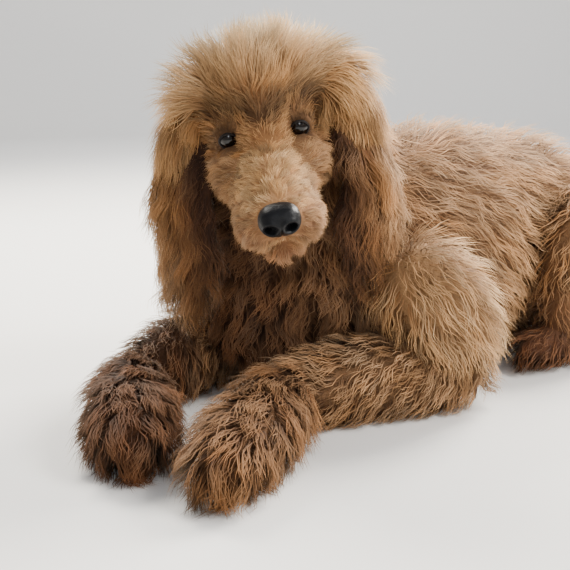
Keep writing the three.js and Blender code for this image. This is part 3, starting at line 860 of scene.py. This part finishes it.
def waved_lines(found, tufts, mine, rings, rng):
    """Centre lines of the locks: drawn together into tufts, frizzed and waved."""
    values, count, number = found["values"], len(mine), len(tufts["flow"])
    steps = np.linspace(0, 1, rings)[None, :, None]
    length = values[:, LENGTH] * (0.70 + 0.5 * rng.random(count))
    found["flow"] = unit(found["flow"] + 0.17 * rng.normal(size=(count, 3)))
    line = paths(found, length, rings)
    tufts["flow"] = unit(tufts["flow"] + 0.34 * rng.normal(size=(number, 3)))
    guides = paths(tufts, tufts["values"][:, LENGTH] * (0.8 + 0.4 * rng.random(number)), rings)
    # Locks draw together half way up and part again at their tips.
    bind = deep(values[:, BIND]) * steps ** 0.9 * (1 - 0.42 * steps ** 2)
    spread = rng.normal(size=(count, 1, 3)) * deep(values[:, TUFT] * 0.20)
    line = line * (1 - bind) + (guides[mine] + spread * steps) * bind
    line = line + rng.normal(size=(count, 1, 3)) * steps ** 2 * deep(length * 0.045)

    # Each tuft has its own wave, and each lock differs a little from it.
    across, above = round_about(line, found["normals"])
    phase = deep(rng.random(number)[mine]) * 2 * math.pi
    period = deep(values[:, PERIOD]) * deep((0.75 + 0.5 * rng.random(number))[mine])
    swing = deep(values[:, WAVE]) * np.minimum(1, steps * 2.0)
    swing = swing * (0.7 + 0.6 * rng.random((count, 1, 1)))
    turned = phase + 0.35 * rng.normal(size=(count, 1, 1))
    turned = turned + 2 * math.pi * (steps * deep(length)) / period
    line = line + across * swing * np.sin(turned) + above * swing * 0.6 * np.cos(turned)
    line[:, :, 2] = np.maximum(line[:, :, 2], 1.2 + 2.0 * rng.random((count, 1)))
    return line


def lock_faces(rings):
    """Faces of one lock: three-sided, closed at the root and pointed at the tip."""
    faces = [(0, 1, 2)]
    for ring in range(rings - 2):
        for k in range(3):
            a, b = 3 * ring + k, 3 * ring + (k + 1) % 3
            faces += [(a, b + 3, b), (a, a + 3, b + 3)]
    last = 3 * (rings - 2)
    faces += [(last + (k + 1) % 3, last + k, last + 3) for k in range(3)]
    return np.array(faces)


def lock_corners(found, line, rng):
    """Corners of the locks and the way that each one faces for the shading."""
    count, rings = line.shape[:2]
    steps = np.linspace(0, 1, rings)[None, :, None]
    across, above = round_about(line, found["normals"])
    width = found["values"][:, WIDTH] * (0.6 + 0.8 * rng.random(count))
    radius = deep(width / 2) * (1 - steps ** 1.5) ** 0.75
    angles = [math.pi / 2 + 2 * math.pi * k / 3 for k in range(3)]
    out = np.stack([math.cos(angle) * across + 0.55 * math.sin(angle) * above
                    for angle in angles], 2)[:, :-1]
    body = line[:, :-1, None] + radius[:, :-1, None] * out
    corners = np.concatenate([body.reshape(count, -1, 3), line[:, -1:]], axis=1)
    corners[:, :, 2] = np.maximum(corners[:, :, 2], 0.4)
    # Soft shading: every lock is lit mostly as the body under it is.
    soft = found["normals"].copy()
    soft[:, 2] = np.maximum(soft[:, 2], -0.25)
    facing = np.concatenate([out.reshape(count, -1, 3), above[:, -1:]], axis=1)
    return corners, unit(unit(soft)[:, None, :] * 0.72 + 0.42 * unit(facing))


def lock_tints(found, mine, number, ring_of, rng):
    """Colour of each corner, from root to tip, with chance for tufts, locks and their sides."""
    count = len(mine)
    # Roots are darker than tips: partly the hair's own colour, partly painted shade deep in the
    # coat.
    blend = np.clip((ring_of - 0.1) / 0.85, 0, 1)[None, :, None] ** 1.15
    tone = 1 + 0.16 * rng.normal(size=number)[mine] + 0.06 * rng.normal(size=count)
    warm = 0.03 * rng.normal(size=count) + 0.04 * rng.normal(size=number)[mine]
    colour = mixed(found["roots"][:, None], found["tips"][:, None], blend)
    colour = colour * deep(np.clip(tone, 0.6, 1.5))
    colour = colour * (1 + deep(warm) * np.array([1.0, 0.0, -1.4]))
    # The sides of a lock differ a little, so it reads as a bundle of finer hairs.
    strands = np.tile(1 + 0.13 * rng.normal(size=(count, 3)), (1, len(ring_of) // 3))
    colour[:, :-1] *= np.clip(strands, 0.65, 1.35)[:, :, None]
    tint = np.ones((count, len(ring_of), 4), np.float32)
    tint[:, :, :3] = np.clip(colour, 0.003, 1)
    return tint


def grow_coat(name, mask, count, rings, seed, material, slot):
    """One piece of coat: tapered, wavy locks that draw together into tufts."""
    rng = np.random.default_rng(seed)
    found = roots_on(mask, max(60, int(count * state["share"])), rng)
    keep = found["values"][:, DENSITY] > 0.3
    found = {key: value[keep] for key, value in found.items()}
    count = int(keep.sum())
    area = state["skin"]["area"][mask].sum()
    spacing = float(np.median(found["values"][:, TUFT]))
    tufts = roots_on(mask, max(8, int(area / spacing ** 2)), rng, even=True)
    tree = KDTree(len(tufts["points"]))
    for i, point in enumerate(tufts["points"]):
        tree.insert(point, i)
    tree.balance()
    mine = np.array([tree.find(point)[1] for point in found["points"]])
    line = waved_lines(found, tufts, mine, rings, rng)
    corners, facing = lock_corners(found, line, rng)
    per = corners.shape[1]
    faces = lock_faces(rings)
    index = (faces[None] + deep(np.arange(count) * per)).reshape(-1, 3)

    mesh = bpy.data.meshes.new(name)
    mesh.vertices.add(count * per)
    mesh.vertices.foreach_set("co", to_frame(corners.reshape(-1, 3)).astype(np.float32).ravel())
    mesh.loops.add(index.size)
    mesh.loops.foreach_set("vertex_index", index.astype(np.int32).ravel())
    mesh.polygons.add(len(index))
    mesh.polygons.foreach_set("loop_start", np.arange(0, index.size, 3, dtype=np.int32))
    mesh.update(calc_edges=True)
    put_attribute(mesh, "custom_normal", "FLOAT_VECTOR", "vector", facing)
    ring_of = np.append(np.repeat(np.arange(rings - 1), 3), rings - 1) / (rings - 1)
    tint = lock_tints(found, mine, len(tufts["flow"]), ring_of, rng)
    put_attribute(mesh, "coat_tint", "FLOAT_COLOR", "color", tint)

    # Each lock's patch of the map lies where its root is on the skin's own map.
    layer = mesh.uv_layers.new(name="OFBake")
    side = np.append(np.tile(np.arange(3) / 2.0, rings - 1), 0.5)
    local = np.stack([side, ring_of], -1)[faces] * PATCH
    flat = found["uv"][:, None, None, :] + local[None] - PATCH / 2
    layer.data.foreach_set("uv", np.clip(flat, 0, 1).astype(np.float32).ravel())
    piece = bpy.data.objects.new(name, mesh)
    bpy.context.scene.collection.objects.link(piece)
    finished(piece, material, slot)


def zone_mask(*names):
    """Triangles of the skin whose nearest form is in one of the named zones."""
    skin = state["skin"]
    return within(skin["zone"][skin["corners"][:, 0]], *names)


def grow_pieces(look, slot, **masks):
    """Grows the named pieces of coat, each on its own triangles of the skin."""
    looks = state.setdefault("looks", {})
    if look not in looks:
        looks[look] = coat_material(look, 0.10, 0.0, COAT_SHEEN[look], 0.7)
    for name, mask in masks.items():
        count, rings, seed = COAT_PIECES[name]
        grow_coat(f"coat_{name}", mask, count, rings, seed, looks[look], slot)


# ---------------------------------------------------------------- operators

class PoodleSizes(bpy.types.PropertyGroup):
    """Sizes of the coat and skin."""

    coat_length: bpy.props.FloatProperty(
        name="Coat length", description="Length of all hair against the photographed dog's",
        default=1.0, min=0.3, max=1.5, subtype="FACTOR")
    lock_width: bpy.props.FloatProperty(
        name="Lock width", description="Width of the locks against the photographed dog's",
        default=1.0, min=0.4, max=2.0, subtype="FACTOR")
    skin_grain: bpy.props.FloatProperty(
        name="Skin grain", description="Size of the cells that the skin is rebuilt with",
        default=0.0036, min=0.002, max=0.01, unit="LENGTH", subtype="DISTANCE", precision=4)


class PoodleColours(bpy.types.PropertyGroup):
    """Colours of the bare parts and the stage."""

    nose: bpy.props.FloatVectorProperty(
        name="Nose", description="Colour of the nose pad", size=3, subtype="COLOR",
        default=(0.0025, 0.0027, 0.0034), min=0, max=1)
    rims: bpy.props.FloatVectorProperty(
        name="Lids and lips", description="Colour of the bare rims of lids and lips", size=3,
        subtype="COLOR", default=(0.007, 0.0045, 0.0038), min=0, max=1)
    floor: bpy.props.FloatVectorProperty(
        name="Floor", description="Colour of the floor", size=3, subtype="COLOR",
        default=(0.80, 0.785, 0.76), min=0, max=1)


class POODLE_OT_skin(bpy.types.Operator):
    """Builds one closed skin over all the body's forms"""

    bl_idname = "poodle.skin"
    bl_label = "Skin"

    # Half angle of the eye's opening, and radii from the eye's middle of the hollow behind the
    # eyeball and of the skin that hugs it.
    opening = 0.86
    hollow, hug = 8.8, 10.8
    mouth_depth, mouth_width = 3.2, 2.6

    def execute(self, context):
        sizes = context.scene.poodle_sizes
        state["share"] = 1.0
        state["forms"] = body_forms()
        skin = joined("poodle_skin", [shaped(name, form)
                                      for name, (zone, form) in state["forms"].items()])
        applied(skin, "REMESH", mode="VOXEL", voxel_size=sizes.skin_grain)
        applied(skin, "SMOOTH", factor=0.5, iterations=7)
        self.soften(skin)
        self.refine_face(skin)
        if not len(skin.data.polygons):
            raise RuntimeError("the skin came out empty")
        use_only(skin)
        skin.data.uv_layers.new(name="OFBake")
        bpy.ops.object.mode_set(mode="EDIT")
        bpy.ops.mesh.select_all(action="SELECT")
        bpy.ops.uv.smart_project(angle_limit=math.radians(66), island_margin=0.002)
        bpy.ops.object.mode_set(mode="OBJECT")
        data = state["skin"] = read_skin(skin)
        data["values"][:, LENGTH] *= sizes.coat_length
        data["values"][:, WIDTH] *= sizes.lock_width
        tint = np.ones((len(skin.data.vertices), 4), np.float32)
        # The skin under the coat is a darkened mix of root and tip colours: painted shade deep in
        # the coat, seen in the gaps between locks.
        tint[:, :3] = data["roots"] * 0.65 + data["tips"] * 0.22
        put_attribute(skin.data, "coat_tint", "FLOAT_COLOR", "color", tint)
        flesh = [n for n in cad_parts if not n.startswith("eye_") and n != "nose"]
        finished(skin, coat_material("skin under the coat", 0.5, 0.8, 0.1, 0.85), "body_coat",
                 *flesh)
        return {"FINISHED"}

    def soften(self, skin):
        """Rounds the places where the body's forms meet, away from the head and ears."""
        points = to_layout(read_vectors(skin.data, "co"))
        away = np.linalg.norm(in_head(points) - np.array([0, 40, -10]), axis=1)
        weight = ramp(away, 120, 150)
        weight[(points[:, 1] < -14) & (points[:, 2] > 125)] = 0
        group = skin.vertex_groups.new(name="body")
        for level in range(1, 5):
            chosen = np.flatnonzero(np.ceil(weight * 4) == level)
            group.add(chosen.tolist(), level / 4, "REPLACE")
        applied(skin, "SMOOTH", factor=0.5, iterations=36, vertex_group="body")
        skin.vertex_groups.clear()

    def refine_face(self, skin):
        """Finer cells over the face, then the hollows of the eyes and the line of the mouth."""
        mesh = skin.data
        head = in_head(to_layout(read_vectors(mesh, "co")))
        near = ((head[:, 1] < 34) & (head[:, 2] < 34) & (head[:, 2] > -92)
                & (np.abs(head[:, 0]) < 58))
        use_only(skin)
        bpy.ops.object.mode_set(mode="EDIT")
        bpy.ops.mesh.select_all(action="DESELECT")
        bpy.ops.object.mode_set(mode="OBJECT")
        chosen = np.array([near[list(p.vertices)].all() for p in mesh.polygons])
        mesh.polygons.foreach_set("select", chosen)
        bpy.ops.object.mode_set(mode="EDIT")
        bpy.ops.mesh.select_mode(type="FACE")
        bpy.ops.mesh.subdivide(number_cuts=1, smoothness=0.6)
        bpy.ops.object.mode_set(mode="OBJECT")
        head = in_head(to_layout(read_vectors(mesh, "co")))
        for side, way in SIDES:
            self.sink_eye(head, eye_centre(way))
        self.part_lips(head)
        put_points(mesh, to_frame(on_head(head)))

    def sink_eye(self, head, centre):
        away = head - centre
        distance = np.linalg.norm(away, axis=1)
        direction = away / distance[:, None]
        angle = np.arccos(np.clip(-direction[:, 1], -1, 1))
        inside = (angle < self.opening) & (distance < 22)
        head[inside] = centre + direction[inside] * self.hollow
        hugging = (angle >= self.opening) & (angle < 1.9) & (distance < 12.6)
        pull = ramp(angle, self.opening, self.opening + 0.5)[:, None]
        head[hugging] = (centre + direction * (self.hug + 1.6 * pull))[hugging]
        # The socket sinks a little above and in front of the eye.
        dish = np.exp(-((distance - 15) / 7) ** 2) * (angle < 1.6) * (distance > 13.5)
        head[:, 1] += dish * 1.6

    def part_lips(self, head):
        mouth = smooth_line(MOUTH_LINE, 80)
        mouth = np.vstack([mouth, mouth * np.array([-1, 1, 1])])
        front = np.flatnonzero((head[:, 1] < 0) & (head[:, 2] < -45) & (head[:, 2] > -78))
        gap = np.linalg.norm(head[front][:, None] - mouth[None], axis=2).min(axis=1)
        depth = self.mouth_depth * np.exp(-(gap / self.mouth_width) ** 2)
        inward = unit((np.array([0, 0, -61.0]) - head[front]) * np.array([1, 0, 1]))
        head[front] += inward * depth[:, None]


class POODLE_OT_eyes(bpy.types.Operator):
    """Builds the eyeballs and the dark lids round them"""

    bl_idname = "poodle.eyes"
    bl_label = "Eyes and lids"

    def execute(self, context):
        gloss = eye_material()
        rims = context.scene.poodle_colours.rims
        leather = leather_material("lid rims", rims, 1.6, 1400, 0.4, 0.5, 0.0)
        for side, way in SIDES:
            self.add_ball(side, way, gloss)
            self.add_lids(side, way, leather)
        return {"FINISHED"}

    def add_ball(self, side, way, material):
        ball = new_ball(f"eyeball_{side}", 64, 48)
        p = read_vectors(ball.data, "co")
        p = np.stack([p[:, 0], -p[:, 2], p[:, 1]], -1)
        off = np.hypot(p[:, 0], p[:, 2])
        bulge = 1 + 0.055 * np.exp(-(off / 0.5) ** 4) * (p[:, 1] < 0)
        local = p * bulge[:, None] * (EYE_RADIUS - 0.2)
        put_points(ball.data, to_frame(on_head(eye_centre(way) + local)))
        put_attribute(ball.data, "iris_ring", "FLOAT", "value", np.where(p[:, 1] < 0, off, 1))
        ray = np.abs(np.arctan2(p[:, 2], p[:, 0]))
        put_attribute(ball.data, "iris_ray", "FLOAT", "value", ray)
        outward(ball)
        finished(ball, material, "eye_gloss", f"eye_{side}")

    def add_lids(self, side, way, material):
        """A ring bent onto the eyeball: longer at the inner corner, thicker in the upper lid."""
        use_only()
        bpy.ops.mesh.primitive_torus_add(major_segments=72, minor_segments=14, major_radius=1.0,
                                         minor_radius=0.25)
        lids = bpy.context.object
        lids.name = lids.data.name = f"lids_{side}"
        p = read_vectors(lids.data, "co")
        around = np.arctan2(p[:, 1], p[:, 0])
        minor = np.arctan2(p[:, 2], np.hypot(p[:, 0], p[:, 1]) - 1)
        inner = np.maximum(0, -way * np.cos(around)) ** 14
        outer = np.maximum(0, way * np.cos(around)) ** 14
        upper = np.maximum(0, np.sin(around))
        edge_x = (8.3 + 2.2 * inner + 0.9 * outer) * np.cos(around)
        edge_z = (7.7 - 0.5 * upper) * np.sin(around)
        heading = np.arctan2(edge_z - 1.2 * inner, edge_x)
        theta = (np.hypot(edge_x, edge_z) + (1.3 + 1.3 * np.cos(minor))) / 10.9
        radius = EYE_RADIUS + 0.25 + (0.55 + 0.4 * upper) * np.sin(minor)
        local = np.stack([np.sin(theta) * np.cos(heading), -np.cos(theta),
                          np.sin(theta) * np.sin(heading)], -1) * radius[:, None]
        put_points(lids.data, to_frame(on_head(eye_centre(way) + local)))
        outward(lids)
        finished(lids, material, "nose_skin")


class POODLE_OT_nose(bpy.types.Operator):
    """Builds the nose pad with its nostrils and the furrow under it"""

    bl_idname = "poodle.nose"
    bl_label = "Nose"

    half_width, half_depth, half_height = 19.0, 14.5, 14.6

    def execute(self, context):
        nose = new_ball("nose_pad", 128, 96)
        p = read_vectors(nose.data, "co")
        p = np.stack([p[:, 0], -p[:, 2], p[:, 1]], -1)
        front = np.clip(-p[:, 1] * 1.6, 0, 1)
        shape = self.pad(p)
        for way in (1, -1):
            self.open_nostril(shape, way, front)
        furrow = np.exp(-(shape[:, 0] / 0.9) ** 2) * ramp(shape[:, 2], 2, -4)
        shape[:, 1] += 1.7 * front * furrow
        put_points(nose.data, to_frame(on_head(shape + NOSE_PLACE)))
        outward(nose)
        colour = context.scene.poodle_colours.nose
        finished(nose, leather_material("nose leather", colour, 1.8, 950, 0.5, 0.36, 0.0),
                 "nose_skin", "nose")
        return {"FINISHED"}

    def pad(self, p):
        """A ball made squarer, flat in front, narrow below and leaning back above and below."""
        turned = np.arctan2(p[:, 2], p[:, 0])
        corner = (np.abs(np.cos(turned)) ** 3 + np.abs(np.sin(turned)) ** 3) ** (-1 / 3)
        shape = p * np.stack([self.half_width * corner, np.full(len(p), self.half_depth),
                              self.half_height * corner], -1)
        fullness = (1 - p[:, 1] ** 2) * np.clip(-p[:, 1] * 3, 0, 1)
        shape[:, 1] -= 2.5 * np.sign(-p[:, 1]) * fullness
        top, low = np.clip(p[:, 2], 0, 1), np.clip(-p[:, 2], 0, 1)
        shape[:, 0] *= 1 - 0.12 * top ** 1.5 - 0.36 * low ** 1.6
        shape[:, 1] += 3.0 * top ** 2 + 3.4 * low ** 1.5
        return shape

    def open_nostril(self, shape, way, front):
        """A round hole, the slit at its outer side and a raised rim."""
        gap = np.hypot((shape[:, 0] - way * 8.8) / 4.8, (shape[:, 2] + 1.6) / 4.0)
        shape[:, 1] += 6.5 * front * np.exp(-gap ** 4)
        along = ramp(shape[:, 0] * way, 8, 17)
        slit = np.abs(shape[:, 2] + 3.0 - 1.5 * along)
        comma = np.exp(-(slit / 1.3) ** 2) * (shape[:, 0] * way > 8)
        shape[:, 1] += 3.0 * front * comma * (1 - along)
        rim = np.hypot((shape[:, 0] - way * 9.0) / 7.2, (shape[:, 2] + 1.6) / 6.4)
        shape[:, 1] -= 1.6 * front * np.exp(-((rim - 1) / 0.35) ** 2)


class POODLE_OT_lips(bpy.types.Operator):
    """Builds the dark lips along the line of the mouth"""

    bl_idname = "poodle.lips"
    bl_label = "Lips"

    def execute(self, context):
        rims = context.scene.poodle_colours.rims
        strips = []
        for height, size in ((-60.5, 1.2), (-62.6, 1.1)):
            for way in (1, -1):
                line = [[way * 25, -8, height], [way * 24, -34, height - 1],
                        [way * 22, -62, height - 1.5], [way * 14, -84, height - 1]]
                strips.append(shaped("lip", head_form(line, [[size, size], [size, size]]), 14, 40))
        lips = joined("lips", strips)
        outward(lips)
        finished(lips, leather_material("lip rims", rims, 2.0, 1200, 0.4, 0.5, 0.2), "nose_skin")
        return {"FINISHED"}


class POODLE_OT_face_coat(bpy.types.Operator):
    """Short tufts over the muzzle, cheeks, brow and chin"""

    bl_idname = "poodle.face_coat"
    bl_label = "Face coat"

    def execute(self, context):
        face = zone_mask("brow", "bridge", "flew", "chin", "cheek")
        front = state["skin"]["centre"][:, 1] < on_head([0, -40, -40])[1]
        grow_pieces("face coat", "face_coat", muzzle=face & front, cheeks=face & ~front)
        return {"FINISHED"}


class POODLE_OT_crown_coat(bpy.types.Operator):
    """Long hair of the crown and the back of the head"""

    bl_idname = "poodle.crown_coat"
    bl_label = "Crown coat"

    def execute(self, context):
        crown = zone_mask("crown")
        front = in_head(state["skin"]["centre"])[:, 1] < 62
        grow_pieces("crown coat", "face_coat", crown_front=crown & front,
                    crown_back=crown & ~front)
        return {"FINISHED"}


class POODLE_OT_ear_coat(bpy.types.Operator):
    """Long wavy hair of both ears"""

    bl_idname = "poodle.ear_coat"
    bl_label = "Ear coat"

    def execute(self, context):
        ears = zone_mask("ear")
        left = state["skin"]["centre"][:, 0] > HEAD_PLACE[0]
        grow_pieces("ear coat", "ear_coat", ear_left=ears & left, ear_right=ears & ~left)
        return {"FINISHED"}


class POODLE_OT_body_coat(bpy.types.Operator):
    """Fluffy coat of the neck, breast and trunk"""

    bl_idname = "poodle.body_coat"
    bl_label = "Body coat"

    def execute(self, context):
        x, y = state["skin"]["centre"][:, :2].T
        trunk, front, left = zone_mask("trunk"), x + y < 60, x - y > 15
        grow_pieces("body coat", "body_coat", neck=zone_mask("neck", "throat"),
                    breast=trunk & front, flank_left=trunk & ~front & left,
                    flank_right=trunk & ~front & ~left)
        return {"FINISHED"}


class POODLE_OT_leg_coat(bpy.types.Operator):
    """Coat of the legs: crimped on the forearms, shaggy on the paws"""

    bl_idname = "poodle.leg_coat"
    bl_label = "Leg coat"

    def execute(self, context):
        x, y = state["skin"]["centre"][:, :2].T
        upper, lower = zone_mask("arm", "forearm"), zone_mask("paw")
        hind = zone_mask("thigh", "shank", "foot")
        grow_pieces("leg coat", "leg_coat",
                    arm_left=upper & (x - y > 0), arm_right=upper & ~(x - y > 0),
                    paw_left=lower & (x > -96), paw_right=lower & ~(x > -96),
                    hind_left=hind & (x - y > 40), hind_right=hind & ~(x - y > 40))
        return {"FINISHED"}


class POODLE_OT_tail_coat(bpy.types.Operator):
    """Long coat of the tail"""

    bl_idname = "poodle.tail_coat"
    bl_label = "Tail coat"

    def execute(self, context):
        grow_pieces("body coat", "body_coat", tail=zone_mask("tail"))
        return {"FINISHED"}


class POODLE_OT_stage(bpy.types.Operator):
    """Floor, soft studio lights and the camera at the photographed angle"""

    bl_idname = "poodle.stage"
    bl_label = "Stage"

    floor_radius, cove, wall, cove_steps = 4.5, 1.6, 1.2, 10

    def execute(self, context):
        scene = context.scene
        self.add_floor(tuple(scene.poodle_colours.floor))
        world = bpy.data.worlds.new("studio")
        world.use_nodes = True
        back = world.node_tree.nodes["Background"]
        back.inputs["Color"].default_value = (0.90, 0.93, 1.0, 1)
        back.inputs["Strength"].default_value = 0.46
        scene.world = world
        for light in LIGHTS:
            self.add_light(*light)
        data = bpy.data.cameras.new("photo_camera")
        camera = bpy.data.objects.new("photo_camera", data)
        scene.collection.objects.link(camera)
        data.sensor_fit = "AUTO"
        data.sensor_width = 36
        data.lens = CAMERA_LENS
        data.clip_start, data.clip_end = 0.05, 50
        camera.location = Vector(eye_middle() + np.array(CAMERA_OFFSET) * MM)
        camera.rotation_euler = (math.radians(90 - CAMERA_TILT), 0, 0)
        scene.camera = camera
        return {"FINISHED"}

    def add_floor(self, colour):
        """A round floor whose edge curves up into a low wall."""
        use_only()
        bpy.ops.mesh.primitive_circle_add(vertices=96, radius=self.floor_radius, fill_type="NGON")
        floor = bpy.context.object
        bpy.ops.object.mode_set(mode="EDIT")
        bpy.ops.mesh.select_all(action="SELECT")
        bpy.ops.mesh.inset(thickness=0.01)
        bpy.ops.mesh.select_all(action="SELECT")
        bpy.ops.mesh.select_mode(type="EDGE")
        bpy.ops.mesh.region_to_loop()
        radius, height = self.floor_radius, 0.0
        for k in range(1, self.cove_steps + 2):
            angle = min(k, self.cove_steps) / self.cove_steps * math.pi / 2
            wide = self.floor_radius + self.cove * math.sin(angle)
            rise = self.cove * (1 - math.cos(angle)) + (self.wall if k > self.cove_steps else 0)
            bpy.ops.mesh.extrude_edges_move(
                TRANSFORM_OT_translate={"value": (0, 0, rise - height)})
            bpy.ops.transform.resize(value=(wide / radius, wide / radius, 1))
            radius, height = wide, rise
        bpy.ops.object.mode_set(mode="OBJECT")
        floor.data.polygons.foreach_set("use_smooth", [True] * len(floor.data.polygons))
        floor.name = floor.data.name = "stage_floor"
        material, tree, links, shader = new_material("floor paper", Roughness=0.9)
        tinted = add_cloud(tree, 3, colour, [c * 1.05 for c in colour])[1]
        links.new(tinted, shader.inputs["Base Color"])
        floor.data.materials.append(material)

    def add_light(self, name, place, target, size, power, colour):
        data = bpy.data.lights.new(name, "AREA")
        data.shape = "SQUARE"
        data.size = size
        data.energy = power
        data.color = colour
        lamp = bpy.data.objects.new(name, data)
        bpy.context.scene.collection.objects.link(lamp)
        lamp.location = place
        lamp.rotation_euler = (Vector(target) - Vector(place)).to_track_quat("-Z", "Y").to_euler()


class POODLE_PT_panel(bpy.types.Panel):
    """Lists the poodle's sizes, colours and pieces"""

    bl_label = "Poodle"
    bl_idname = "POODLE_PT_panel"
    bl_space_type = "VIEW_3D"
    bl_region_type = "UI"
    bl_category = "Poodle"

    def draw(self, context):
        layout = self.layout
        for group in (context.scene.poodle_sizes, context.scene.poodle_colours):
            box = layout.box()
            for key in group.__annotations__:
                box.prop(group, key)
        for operator in OPERATORS:
            layout.operator(operator.bl_idname)


OPERATORS = (POODLE_OT_skin, POODLE_OT_eyes, POODLE_OT_nose, POODLE_OT_lips, POODLE_OT_face_coat,
             POODLE_OT_crown_coat, POODLE_OT_ear_coat, POODLE_OT_body_coat, POODLE_OT_leg_coat,
             POODLE_OT_tail_coat, POODLE_OT_stage)
CLASSES = (PoodleSizes, PoodleColours, *OPERATORS, POODLE_PT_panel)


def register():
    for each in CLASSES:
        bpy.utils.register_class(each)
    bpy.types.Scene.poodle_sizes = bpy.props.PointerProperty(type=PoodleSizes)
    bpy.types.Scene.poodle_colours = bpy.props.PointerProperty(type=PoodleColours)


def unregister():
    del bpy.types.Scene.poodle_sizes
    del bpy.types.Scene.poodle_colours
    for each in reversed(CLASSES):
        bpy.utils.unregister_class(each)


def main():
    register()
    bpy.ops.poodle.skin()
    bpy.ops.poodle.eyes()
    bpy.ops.poodle.nose()
    bpy.ops.poodle.lips()
    bpy.ops.poodle.face_coat()
    bpy.ops.poodle.crown_coat()
    bpy.ops.poodle.ear_coat()
    bpy.ops.poodle.body_coat()
    bpy.ops.poodle.leg_coat()
    bpy.ops.poodle.tail_coat()
    bpy.ops.poodle.stage()


if __name__ == "__main__":
    main()
